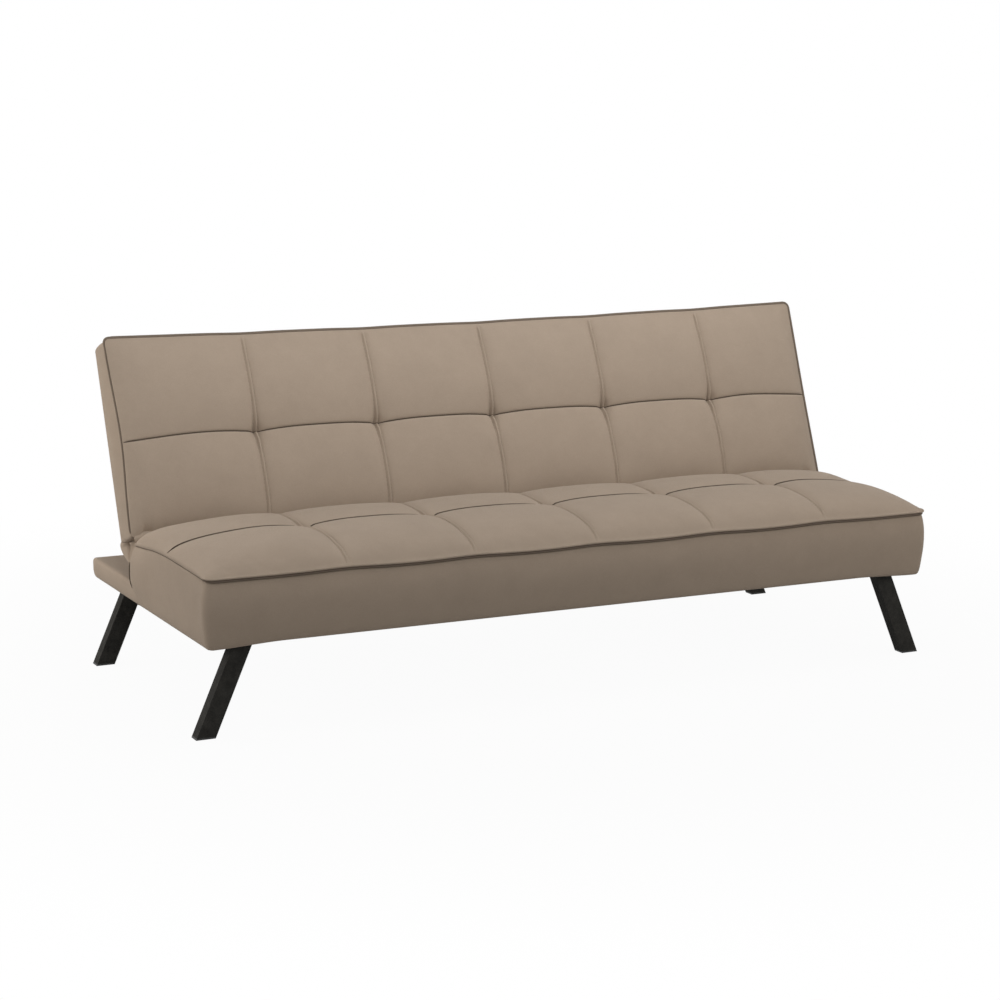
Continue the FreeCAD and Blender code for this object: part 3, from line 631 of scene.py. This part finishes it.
def make_pad(name, pad, lip, flat_back=False):
    """A closed cushion: its quilted top, the lip that its edge rolls under into, and a flat underside."""
    top = quilted_top(pad)
    grid = top.reshape(len(pad.x), len(pad.s), 3).copy()
    plan, outward, wave, _, _ = edge_path(pad)
    numbers = pad.border_numbers()
    strong = side_share(pad)
    lips = [[weak * (1 - strong) + full * strong for full, weak in zip(*pair)] for pair in zip(*lip)]
    top[numbers] = ring(plan, outward, lips[0][0], top[numbers, 2])
    points, faces = [top], grid_faces(len(pad.x), len(pad.s))
    rings = [ring(plan, outward, out, WELT_Z + height + wave) for out, height in lips[1:]]
    rings.append(inner_ring(pad, plan, outward, PAD_FLOOR[0], WELT_Z - PAD_FLOOR[1]))
    last = skirt(points, faces, numbers, rings)
    faces.append(last[::-1].tolist())
    return make_object(name, np.concatenate(points), faces, upholstery, flat_back), grid


def side_share(pad):
    """1 along the side of a pad whose welt stands out, and 0 once past its corners."""
    drawn, _ = pad.border()
    gone = pad.depth - drawn[:, 1] if pad.welt_side == "far" else drawn[:, 1]
    return 1 - ease(gone, *CORNER_BLEND)


seat_cushion, seat_grid = make_pad("seat_cushion", seat_pad, SEAT_LIP)
back_cushion, back_grid = make_pad("back_cushion", back_pad, BACK_LIP, flat_back=True)


# Boxing: the fabric bands round the seat, the rear shelf and the back

FRONT_BAND = (
    (5.6, -8), (6.6, -4.2), (7.8, -2.4), (9.8, -1), (13.5, 0.4), (20, 2.2), (32, 4.4), (40, 5.4), (50, 6.2),
    (66, 6.6), (84, 5.8), (100, 4), (116, 1.8), (130, -0.4), (138.5, -2.2), (143.8, -4.2), (147, -7),
    (148.6, -12))
END_BAND = (
    (4.7, -8), (4.8, -3.6), (5.2, -1.4), (7, -0.4), (12, 0.3), (20, 0.8), (32, 1.2), (40, 1.4), (50, 1.5),
    (66, 1.6), (84, 1.6), (100, 1.4), (116, 1), (130, -0.4), (138.5, -2.2), (143.8, -4.4), (147, -7.6),
    (148.2, -13))
BACK_BOXING = (
    (5, -6), (6.5, -2.5), (9, -0.6), (13, 0.5), (20, 1.5), (28, 2.2), (36, 2.6), (43, 2.8), (50, 2.8),
    (66, 2.2), (76, 1), (84, -1.6), (89, -4.6), (91.6, -8), (92.4, -12))
BAND_TOP = (18, 7.5)
BAND_HEM = (32, 148.2)
BACK_HEM = ((22, 91.8), (40, 90))
REAR_BULGE = 11.5
REAR_SPAN = (300, 455)
BULGE_DROPS = ((5, 0), (16, 0.45), (30, 0.8), (46, 1), (80, 1), (96, 0.8), (108, 0.5), (120, 0.15), (130, 0))
SLIT_Z = (222, 245)
SEAT_NOTCH = (34, 50)
BACK_NOTCH = (20, 48)
SQUARE_RADIUS = 0.5
SIDE_DROOP = 6.0
HIDDEN_RISE = 6.0
DROOP_SPAN = (720, 890)
LOW_BAND = ((WELT_Z - UNDERSIDE) / 3, WELT_Z - UNDERSIDE)


def hem_shift(drawn, on_end):
    """How far the lower hem droops towards and along the ends."""
    return -SIDE_DROOP * np.where(on_end, 1, ease(np.abs(drawn[:, 0]), *DROOP_SPAN))


def make_band(name, rings, flat_back=False):
    points, faces = [rings[0]], []
    skirt(points, faces, np.arange(len(rings[0])), rings[1:])
    return make_object(name, np.concatenate(points), faces, upholstery, flat_back)


def make_seat_boxing():
    """The band round the seat, open at the hinges; returns its visible rings too."""
    plan, outward, wave, drawn, sides = edge_path(seat_pad)
    plain, plain_out = edge_path(seat_pad, tucked=0.0)[:2]
    square, square_out = edge_path(seat_pad, SQUARE_RADIUS, 0.0)[:2]
    on_end = np.isin(sides, ("left", "right"))
    hem = np.where(sides == "far", HIDDEN_RISE, hem_shift(drawn, on_end))
    rings = []
    strong = side_share(seat_pad)
    bulge = REAR_BULGE * ease(drawn[:, 1], *REAR_SPAN) * on_end
    for full, weak in zip(FRONT_BAND, END_BAND):
        drop, out = (near * strong + far * (1 - strong) for near, far in zip(full, weak))
        low = ease(drop, *LOW_BAND)
        open_here = 1 - ease(drop, *SEAT_NOTCH)[:, None]
        rounded = ease(WELT_Z - drop, *SLIT_Z)[:, None]
        place, away = (notched * open_here + whole * (rounded - open_here) + cornered * (1 - rounded)
                       for notched, whole, cornered in ((plan, plain, square), (outward, plain_out, square_out)))
        out = out + bulge * profile(BULGE_DROPS, drop)
        rings.append(ring(place, away, out, WELT_Z - drop + wave * (1 - low) + hem * low))
    band = np.array(rings)
    rings.insert(0, inner_ring(seat_pad, plan, outward, BAND_TOP[0], WELT_Z - BAND_TOP[1] + wave))
    rings.append(inner_ring(seat_pad, square, square_out, BAND_HEM[0], WELT_Z - BAND_HEM[1] + hem))
    return make_band("base_boxing", rings), band


def make_back_boxing():
    plan, outward = edge_path(back_pad)[:2]
    plain, plain_out = edge_path(back_pad, tucked=0.0)[:2]
    rings = [inner_ring(back_pad, plan, outward, BAND_TOP[0], WELT_Z - BAND_TOP[1])]
    for drop, out in BACK_BOXING:
        whole = ease(drop, *BACK_NOTCH)
        rings.append(ring(plan * (1 - whole) + plain * whole, outward * (1 - whole) + plain_out * whole,
                          out, WELT_Z - drop))
    rings += [inner_ring(back_pad, plain, plain_out, inset, WELT_Z - drop) for inset, drop in BACK_HEM]
    return make_band("back_boxing", rings, flat_back=True)


SHELF_LAP = 14.0
SHELF_BLEND = (10, 18)
SHELF_STEP = 20.0
SHELF_CROWN = 1.5
SHELF_EDGE = ((-10, 0), (-6.2, -0.8), (-2.9, -2.9), (-0.8, -6.2), (0, -10))
SHELF_INSET = 1.5
SHELF_ROLL = 0.45


def make_shelf():
    """The padded shelf behind the seat; its ends carry on the seat's own end panels."""
    depth = SHELF_REAR_Y - SEAT_REAR_Y + SHELF_LAP
    shelf = Panel(SEAT_HALF, depth, SEAT_REAR_Y - SHELF_LAP, (SQUARE_RADIUS, 9.0),
                  fill_lines([-SEAT_HALF, SEAT_HALF], SHELF_STEP),
                  fill_lines([0.0, SHELF_LAP, depth], SHELF_STEP))
    grid_x, grid_s = lattice(shelf.x, shelf.s)
    plan_x, plan_s = shelf.outline(grid_x, grid_s)
    crown = SHELF_CROWN * (1 - (grid_x / SEAT_HALF) ** 6) * (1 - (2 * grid_s / depth - 1) ** 4)
    top = np.stack([plan_x, plan_s + shelf.y0, SHELF_TOP + crown], -1).reshape(-1, 3)
    plan, outward, _, drawn, sides = edge_path(shelf)
    inset = SHELF_INSET * (1 - ease(drawn[:, 1], *SHELF_BLEND))
    hem = hem_shift(drawn, np.isin(sides, ("left", "right")))
    numbers = shelf.border_numbers()
    top[numbers] = ring(plan, outward, SHELF_EDGE[0][0], SHELF_TOP)
    rings = [ring(plan, outward, out - inset, SHELF_TOP + fall) for out, fall in SHELF_EDGE[1:]]
    for drop, out in END_BAND:
        if WELT_Z - drop < SHELF_TOP + SHELF_EDGE[-1][1]:
            low = ease(drop, *LOW_BAND)
            out = np.where((sides == "far") & (out < 0), out * SHELF_ROLL, out)
            rings.append(ring(plan, outward, out - inset, WELT_Z - drop + hem * low))
    rings.append(inner_ring(shelf, plan, outward, BAND_HEM[0], WELT_Z - BAND_HEM[1] + hem))
    points, faces = [top], grid_faces(len(shelf.x), len(shelf.s))
    skirt(points, faces, numbers, rings)
    return make_object("shelf_boxing", np.concatenate(points), faces, upholstery)


base_boxing, band_rings = make_seat_boxing()
shelf_boxing = make_shelf()
back_boxing = make_back_boxing()


# Piping in the seam between each cushion and its boxing, coloured darker than its own tone to paint the shadowed welt
# line

PIPING_SIDES = 10
PIPING_END_GAP = 6.0
PIPING_TAPER = 10.0
PIPING_THIN = 0.65
PIPING_BLUR = 5


def make_piping(name, pad, form, drop, flat_back=False):
    """form gives, for each side in order, how far the cord stands out and its radius."""
    plan, outward, wave, drawn, sides = edge_path(pad)
    path = np.concatenate([np.flatnonzero(sides == side) for side in form])
    open_at = drawn[path, 1] if pad.welt_side == "far" else pad.depth - drawn[path, 1]
    path, open_at = path[open_at > PIPING_END_GAP], open_at[open_at > PIPING_END_GAP]
    shape = np.array([form[side] for side in sides[path]])
    padded = np.pad(shape, ((PIPING_BLUR, PIPING_BLUR), (0, 0)), "edge")
    out, thick = np.mean([padded[step:step + len(path)] for step in range(2 * PIPING_BLUR + 1)], 0).T
    thick = thick * (1 - PIPING_THIN * (1 - ease(open_at, PIPING_END_GAP, PIPING_END_GAP + PIPING_TAPER)))
    centre = ring(plan[path], outward[path], out, WELT_Z - drop + wave[path])
    return make_object(name, *tube(centre, thick), piping, flat_back)


UP = np.array((0, 0, 1.0))


def tube(centre, radius, up=UP):
    """Points and faces of a closed tube along a path."""
    along = np.gradient(centre, axis=0)
    sideways = unit(np.cross(along, up))
    turn = np.arange(PIPING_SIDES) * 2 * math.pi / PIPING_SIDES
    points = centre[:, None] + radius[:, None, None] * (
        np.cos(turn)[None, :, None] * sideways[:, None] + np.sin(turn)[None, :, None] * up)
    number = np.arange(len(centre) * PIPING_SIDES).reshape(len(centre), PIPING_SIDES)
    return points, tube_faces(number)


seat_piping = make_piping(
    "seat_piping", seat_pad, {"left": (-0.6, 0.7), "near": (-1.4, 3.1), "right": (-0.2, 1.2)}, 4.6)
back_piping = make_piping(
    "back_piping", back_pad, {"right": (5.4, 4.0), "far": (3.6, 5.2), "left": (1.8, 2.6)}, 3.4, flat_back=True)


# Stitches along the sewn lines of each cushion, and a dark tube painted as the shadow in the groove between its rows

STITCH_LENGTH = 7.0
STITCH_GAP = 2.0
STITCH_RADIUS = 0.5
STITCH_FORM = ((0, 0.35, -0.7), (0.18, 0.85, 0.1), (0.5, 1, 0.4), (0.82, 0.85, 0.1), (1, 0.35, -0.7))
STITCH_SIDES = 6
STITCH_MARGIN = 22.0
STITCH_OFFSET = 5.0
SEAM_SHADOW_RADIUS = 1.8
SEAM_SHADOW_TAPER = 14.0
SEAM_SHADOW_PINCH = 16.0
SEAM_SHADOW_THIN = 0.7


def stitches_along(path):
    """Points of each stitch on a sewn line, as (stitch, station, side, 3)."""
    gone = np.concatenate([[0], np.cumsum(np.linalg.norm(np.diff(path, axis=0), axis=1))])
    starts = np.arange(STITCH_MARGIN, gone[-1] - STITCH_MARGIN - STITCH_LENGTH, STITCH_LENGTH + STITCH_GAP)
    share, thick, rise = np.array(STITCH_FORM).T
    places = starts[:, None] + share * STITCH_LENGTH
    centre = np.stack([np.interp(places, gone, path[:, axis]) for axis in range(3)], -1)
    centre[..., 2] += rise
    along = centre[:, -1:] - centre[:, :1]
    sideways = unit(np.cross(along, UP))
    turn = np.arange(STITCH_SIDES) * 2 * math.pi / STITCH_SIDES
    spokes = np.cos(turn)[:, None] * sideways[:, :, None] + np.sin(turn)[:, None] * UP
    return centre[:, :, None] + STITCH_RADIUS * thick[:, None, None] * spokes


def make_stitches(name, pad, grid, flat_back=False):
    lines = []
    for seam in pad.seams:
        for side in (-1, 1):
            lines.append(grid[np.argmin(np.abs(pad.x - seam - side * STITCH_OFFSET))])
    made = np.concatenate([stitches_along(line) for line in lines])
    number = np.arange(made[..., 0].size).reshape(made.shape[:3])
    faces = [face for stitch in number for face in tube_faces(stitch)]
    return make_object(name, made, faces, thread, flat_back)


def make_seam_shadow_line(name, pad, grid, rise, flat_back=False):
    """A dark tube painted as the shadow in the groove where the two rows meet, thin beside the tufts and at the ends.
    """
    line = grid[:, np.argmin(np.abs(pad.s - pad.row))].copy()
    line[:, 2] += rise
    open_at = np.minimum(1, (pad.half - np.abs(pad.x)) / SEAM_SHADOW_TAPER)
    pinched = bell(pad.from_seam(pad.x), SEAM_SHADOW_PINCH)
    radius = SEAM_SHADOW_RADIUS * (1 - SEAM_SHADOW_THIN * pinched) * (1 - SEAM_SHADOW_THIN * (1 - open_at))
    return make_object(name, *tube(line, radius), seam_shadow_paint, flat_back)


# Painted shadow lines in the row grooves of the seat and the back.
seat_seam_shadow = make_seam_shadow_line("seat_row_seam_shadow", seat_pad, seat_grid, 2.0)
back_seam_shadow = make_seam_shadow_line("back_row_seam_shadow", back_pad, back_grid, 1.0, flat_back=True)
seat_stitches = make_stitches("seat_stitches", seat_pad, seat_grid)
back_stitches = make_stitches("back_stitches", back_pad, back_grid, flat_back=True)


# Cloth that closes the back and the underside

REAR_INSET = 26.0
REAR_HOLLOW = 4.0
PANEL_STEP = 25.0
REAR_EDGE = 1.6
REAR_SEAM = 0.2


def make_rear_panel():
    x = fill_lines([-BACK_HALF + REAR_INSET, BACK_HALF - REAR_INSET], PANEL_STEP)
    s = fill_lines([REAR_INSET, BACK_HEIGHT - REAR_INSET], PANEL_STEP)
    grid_x, grid_s = lattice(x, s)
    _, plan_s = back_pad.outline(grid_x, grid_s)
    span_x = 1 - (grid_x / x[-1]) ** 8
    span_s = 1 - np.abs(2 * (grid_s - s[0]) / (s[-1] - s[0]) - 1) ** 4
    z = WELT_Z - BACK_THICKNESS - REAR_EDGE + REAR_HOLLOW * span_x * span_s
    z[0] = z[-1] = z[:, 0] = z[:, -1] = WELT_Z - BACK_THICKNESS - REAR_SEAM
    points = np.stack([grid_x, plan_s + BACK_Y0, z], -1)
    faces = [face[::-1] for face in grid_faces(len(x), len(s))]
    return make_object("back_rear_panel", points, faces, upholstery, flat_back=True), (x, s)


DUST_EDGE = 18.0
DUST_SAG = 5.0
DUST_RISE = 1.0
LEG_PLATE_X = (750, 864)
LEG_PLATE_Y = ((-361, -279), (287, 369))


def make_dust_sheet():
    """Thin black cloth under the frame, cut out round the leg plates."""
    ends = sorted(side * place for side in (-1, 1) for place in LEG_PLATE_X)
    x = fill_lines([DUST_EDGE - SEAT_HALF] + ends + [SEAT_HALF - DUST_EDGE], PANEL_STEP)
    rows = [place for pair in LEG_PLATE_Y for place in pair]
    y = fill_lines([FRONT_Y + DUST_EDGE] + rows + [SHELF_REAR_Y - DUST_EDGE], PANEL_STEP)
    grid_x, grid_y = lattice(x, y)
    bay = np.sin(np.pi * np.clip((grid_y - y[0]) / (y[-1] - y[0]), 0, 1)) * (1 - (grid_x / SEAT_HALF) ** 4)
    z = UNDERSIDE + DUST_RISE - DUST_SAG * bay
    faces = np.array(grid_faces(len(x), len(y)))[:, ::-1]
    middle_x, middle_y = (np.mean(grid.ravel()[faces], 1) for grid in (np.abs(grid_x), grid_y))
    at_leg = (LEG_PLATE_X[0] < middle_x) & (middle_x < LEG_PLATE_X[1])
    at_leg &= np.any([(low < middle_y) & (middle_y < high) for low, high in LEG_PLATE_Y], 0)
    sheet = make_object("dust_sheet", np.stack([grid_x, grid_y, z], -1), faces[~at_leg].tolist(), dust_cloth)
    cut = 4 * (LEG_PLATE_X[1] - LEG_PLATE_X[0]) * (LEG_PLATE_Y[0][1] - LEG_PLATE_Y[0][0])
    return sheet, (x[-1] - x[0], y[-1] - y[0]), cut


rear_panel, (rear_x, rear_s) = make_rear_panel()
dust_sheet, dust_flat, dust_cut = make_dust_sheet()


# Elastic straps across the back's frame

STRAP_WIDTH = 50.0
STRAP_THICKNESS = 2.0
STRAP_FLOOR = 302.0
STRAP_MARGIN = 10.0
RAIL_EDGE = 8.0
UPRIGHT_SPAN = 862.5
UPRIGHTS = 6
CROSSES = 2
STRAP_STEP = 12.0
STRAP_SECTION = (
    (-0.5, 0.35), (-0.5, 0.65), (-0.48, 1), (0.48, 1), (0.5, 0.65), (0.5, 0.35), (0.48, 0), (-0.48, 0))


def make_straps(name, lines, floor):
    """Flat woven straps, each along a line in plan, given by its two ends."""
    points, faces, count = [], [], 0
    for start, end in np.array(lines):
        length = np.linalg.norm(end - start)
        along = (end - start) / length
        across = np.array((-along[1], along[0]))
        stations = np.linspace(0, length, round(length / STRAP_STEP))
        for width, height in STRAP_SECTION:
            plan = start + along * stations[:, None] + across * width * STRAP_WIDTH
            points.append(np.column_stack([plan, np.full(len(stations), floor + height * STRAP_THICKNESS)]))
        number = np.arange(len(STRAP_SECTION) * len(stations)).reshape(len(STRAP_SECTION), -1).T + count
        faces += tube_faces(number)
        count += number.size
    return make_object(name, np.concatenate(points), faces, strap_cloth, flat_back=True)


upright_x = [UPRIGHT_SPAN * ((2 * number + 1) / UPRIGHTS - 1) for number in range(UPRIGHTS)]
strap_y = (BACK_Y0 + STRAP_MARGIN, BACK_Y0 + BACK_HEIGHT - STRAP_MARGIN)
cross_y = [BACK_Y0 + RAIL_EDGE + (BACK_HEIGHT - 2 * RAIL_EDGE) * (number + 1) / (CROSSES + 1)
           for number in range(CROSSES)]
cross_half = BACK_HALF - STRAP_MARGIN
upright_straps = make_straps(
    "back_upright_straps", [[(x, y) for y in strap_y] for x in upright_x], STRAP_FLOOR)
cross_straps = make_straps(
    "back_cross_straps", [[(-cross_half, y), (cross_half, y)] for y in cross_y], STRAP_FLOOR + STRAP_THICKNESS)


# Gathered fabric that closes the wedge between seat and back at each end

# Places (x, y, z) at shares of the way down each edge; ridges, cleft and roll as (place, width, height)
GUSSET_SEAT_EDGE = ((0, 884, 80, 350), (0.3, 885, 81, 334), (0.65, 894, 83, 312), (1, 906, 98, 290))
GUSSET_BACK_EDGE = (
    (0, 898, 172, 327), (0.18, 902, 169, 318), (0.42, 904, 158, 309), (0.72, 906, 130, 299), (1, 906, 100, 290))
GUSSET_RIDGES = ((0.16, 0.09, 4), (0.38, 0.06, 6), (0.82, 0.11, 4))
GUSSET_CLEFT = (0.57, 0.06, 16)
GUSSET_FADE = (0.04, 0.28)
GUSSET_ROLL = (0.17, 0.08, 6)
ROLL_MIDDLE = 0.62
ROLL_WIDTH = 0.22
GUSSET_LINES = (49, 25)


def contour(table, t):
    """Places along one edge of a gusset, from its top at t 0 to its tip at t 1."""
    at, *columns = zip(*table)
    return np.stack([profile(tuple(zip(at, column)), t) for column in columns], -1)


def make_gusset(name, side):
    across, down = (np.linspace(0, 1, count) for count in GUSSET_LINES)
    q, t = lattice(across, down)
    seat_edge, back_edge = contour(GUSSET_SEAT_EDGE, down), contour(GUSSET_BACK_EDGE, down)
    points = seat_edge + (back_edge - seat_edge) * q[..., None]
    out = sum(height * bell(q - at, width) for at, width, height in GUSSET_RIDGES)
    at, width, depth = GUSSET_CLEFT
    out = (out - depth * bell(q - at, width)) * ease(t, *GUSSET_FADE) * (1 - t)
    at, width, height = GUSSET_ROLL
    points[..., 0] += out + height * bell(t - at, width) * bell(q - ROLL_MIDDLE, ROLL_WIDTH)
    return mirrored_sheet(name, points, side, -1)


HOOD_SECTION = (
    (849, 10), (852, 15), (855, 20), (858, 24.2), (867, 24.6), (876, 24.6), (879, 20.5), (883, 15), (889, 12),
    (895, 10.5), (899, 8))
HOOD_ANGLES = (205, 95, 19)
HOOD_WRAP = 30.0
HOOD_WRAP_X = (878, 888)
HOOD_LOW = 17.5
HOOD_FALL = (112, 152)


def make_hood(name, side):
    """A strip of cover fabric that arches over a hinge from the seat to the back."""
    x, radius = (np.array(column, float) for column in zip(*HOOD_SECTION))
    start, end, count = HOOD_ANGLES
    angle = np.linspace(start + HOOD_WRAP * ease(x, *HOOD_WRAP_X), end, count, axis=1)
    low = np.minimum(radius, HOOD_LOW)[:, None]
    reach = low + (radius[:, None] - low) * ease(angle, *HOOD_FALL)
    turn = np.radians(angle)
    places = [np.broadcast_to(x[:, None], reach.shape), PIVOT_Y + reach * np.cos(turn), PIVOT_Z + reach * np.sin(turn)]
    return mirrored_sheet(name, np.stack(places, -1), side, 1)


def mirrored_sheet(name, points, side, turned):
    """A sheet from a grid of points at the right end, and its area; its faces turn round at the side turned."""
    faces = grid_faces(*points.shape[:2])
    if side == turned:
        faces = [face[::-1] for face in faces]
    points = (points * (side, 1, 1)).reshape(-1, 3)
    a, b, c, d = (points[column] for column in np.array(faces).T)
    area = 0.5 * np.linalg.norm(np.cross(c - a, d - b), axis=1).sum()
    return make_object(name, points, faces, upholstery), area


ENDS = (("left", -1), ("right", 1))
gussets = {name: make_gusset("gusset_" + name, side) for name, side in ENDS}
hoods = {name: make_hood("hinge_hood_" + name, side) for name, side in ENDS}


# A dark tube painted as the shadow in the slit where each end panel of the seat stops behind the cushion

END_SHADOW_AT = SEAT_DEPTH - 4.5
END_SHADOW_Z = (297, 288, 274, 260, 248, 238)
END_SHADOW_OUT = 1.6
END_SHADOW_RADIUS = (0.5, 1.4, 1.6, 1.6, 1.4, 0.5)


# Painted shade: the tube's near-black colour stands for the shadow inside the slit.
def make_end_slit_shadow(name, side):
    drawn, _ = seat_pad.border()
    column = band_rings[:, np.abs(drawn - (side * SEAT_HALF, END_SHADOW_AT)).sum(1).argmin()]
    height = np.array(END_SHADOW_Z)
    x, y = (np.interp(-height, -column[:, 2], column[:, axis]) for axis in (0, 1))
    centre = np.stack([x + side * END_SHADOW_OUT, y, height], -1)
    return make_object(name, *tube(centre, np.array(END_SHADOW_RADIUS), np.array((0, 1.0, 0))), seam_shadow_paint)


end_slit_shadows = [make_end_slit_shadow("end_slit_shadow_" + name, side) for name, side in ENDS]


# What each piece rides on and stands for

for piece, body, slot, nodes in (
        (seat_cushion, "base", "upholstery", ("seat_cover", "seat_foam", "seat_felt_pad")),
        (base_boxing, "base", "upholstery", ("seat_cover",)),
        (shelf_boxing, "base", "upholstery", ("shelf_cover",)),
        (seat_piping, "base", "piping", ("seat_welt",)),
        (dust_sheet, "base", "dust_cloth", ("dust_cover",)),
        (back_cushion, "backrest", "upholstery", ("back_cover", "back_foam")),
        (back_boxing, "backrest", "upholstery", ("back_cover",)),
        (rear_panel, "backrest", "upholstery", ("back_rear_cover",)),
        # The seam shadow lines below are dark tubes painted as shade in the row grooves and the end slits.
        (seat_seam_shadow, "base", "piping", ()),
        *((seam, "base", "piping", ()) for seam in end_slit_shadows),
        (back_seam_shadow, "backrest", "piping", ()),
        (seat_stitches, "base", "piping", ()),
        (back_stitches, "backrest", "piping", ()),
        (upright_straps, "backrest", "webbing", ("back_upright_webbing",)),
        (cross_straps, "backrest", "webbing", ("back_cross_webbing",)),
        (back_piping, "backrest", "piping", ("back_welt",))):
    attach(piece, body)
    if nodes:
        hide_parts(*nodes)

for name, (gusset, area) in gussets.items():
    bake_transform(gusset)
    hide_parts("hinge_gusset_" + name)

for name, (hood, area) in hoods.items():
    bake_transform(hood)

EDGE_ROUNDING = 0.0014
for subpart in frame["record"]["subparts"]:
    node = frame["nodes"][subpart["node"]]
    material = node_materials.get(subpart["material_slot"], upholstery)
    node.data.materials.clear()
    node.data.materials.append(material)
    if subpart["material_slot"] in ("leg_paint", "foot_plastic"):
        rounding = node.modifiers.new("rounded_edges", "BEVEL")
        rounding.width = EDGE_ROUNDING
        rounding.segments = 2


# Camera, light and floor

CAMERA_PLACE = (-2.6695, -5.3179, 1.5295)
CAMERA_YAW = -26.39
CAMERA_PITCH = 10.94
CAMERA_ROLL = 0.453
CAMERA_LENS = 92.97
FLOOR_COLOUR = (0.5, 0.5, 0.5)
FLOOR_GLOW = (0.96, 1.0)
FLOOR_FADE = (0.9, 2.2)
FLOOR_REACH = 40.0
WARM = (1, 0.95, 0.89)


def make_camera():
    yaw, pitch, roll = (math.radians(angle) for angle in (CAMERA_YAW, CAMERA_PITCH, CAMERA_ROLL))
    look = Vector((-math.sin(yaw) * math.cos(pitch), math.cos(yaw) * math.cos(pitch), -math.sin(pitch)))
    level = Vector((math.cos(yaw), math.sin(yaw), 0))
    upright = level.cross(look)
    right = math.cos(roll) * level + math.sin(roll) * upright
    up = math.cos(roll) * upright - math.sin(roll) * level
    data = bpy.data.cameras.new("camera")
    data.lens = CAMERA_LENS
    camera = bpy.data.objects.new("camera", data)
    axes = Matrix((right, up, -look)).transposed().to_4x4()
    camera.matrix_world = Matrix.Translation(CAMERA_PLACE) @ axes
    scene.collection.objects.link(camera)
    scene.camera = camera


def make_lamp(name, place, target, size, power, spread=180, colour=(1, 1, 1)):
    data = bpy.data.lights.new(name, "AREA")
    data.shape = "RECTANGLE"
    data.size, data.size_y = size
    data.energy = power
    data.color = colour
    data.spread = math.radians(spread)
    lamp = bpy.data.objects.new(name, data)
    lamp.location = place
    lamp.rotation_euler = (Vector(target) - Vector(place)).to_track_quat("-Z", "Y").to_euler()
    scene.collection.objects.link(lamp)


def make_world(strength):
    world = bpy.data.worlds.new("studio")
    world.use_nodes = True
    nodes = Nodes(world.node_tree)
    nodes.put(world.node_tree.nodes["Background"], {
        "Color": (1, 1, 1, 1), "Strength": nodes.span(nodes.seen_directly(), strength, 1.0)})
    scene.world = world


def make_floor():
    """A pale floor that glows white where it is seen directly, least near the sofa."""
    pale = Surface("pale_floor", FLOOR_COLOUR, 1.0, {"Specular IOR Level": 0.0})
    away = pale.add("ShaderNodeVectorMath", {0: pale.place}, operation="LENGTH").outputs["Value"]
    limits = dict(zip(("From Min", "From Max", "To Min", "To Max"), FLOOR_FADE + FLOOR_GLOW))
    fade = pale.add("ShaderNodeMapRange", {"Value": away, **limits}, interpolation_type="SMOOTHSTEP")
    mix = pale.add("ShaderNodeMixShader", {
        "Fac": pale.math("MULTIPLY", pale.seen_directly(), fade.outputs["Result"]),
        1: pale.shader.outputs["BSDF"], 2: pale.add("ShaderNodeEmission").outputs["Emission"]})
    pale.put(pale.tree.nodes["Material Output"], {"Surface": mix.outputs["Shader"]})
    mesh = bpy.data.meshes.new("floor")
    corners = [(x * FLOOR_REACH, y * FLOOR_REACH, 0) for x, y in ((-1, -1), (1, -1), (1, 1), (-1, 1))]
    mesh.from_pydata(corners, [], [(0, 1, 2, 3)])
    mesh.materials.append(pale.material)
    floor = bpy.data.objects.new("floor", mesh)
    scene.collection.objects.link(floor)


make_camera()
make_lamp("overhead_softbox", (0.2, -0.35, 2.0), (0.1, 0.05, 0.45), (3.6, 0.9), 19.5)
make_lamp("front_softbox", (-0.5, -2.7, 1.75), (-0.1, 0.25, 0.82), (2.8, 0.5), 2.8, 40)
make_lamp("left_softbox", (-2.6, -0.9, 1.2), (-0.9, 0.0, 0.3), (1.4, 1.2), 6.6, colour=WARM)
make_lamp("low_left_softbox", (-2.0, 0.9, 0.85), (-0.9, 0.2, 0.3), (1.0, 0.7), 12.0, colour=WARM)
make_lamp("right_softbox", (2.2, -2.2, 1.6), (0.6, 0.0, 0.4), (1.6, 1.4), 19.0, colour=WARM)
make_world(0.26)
make_floor()
scene.view_settings.view_transform = "Standard"
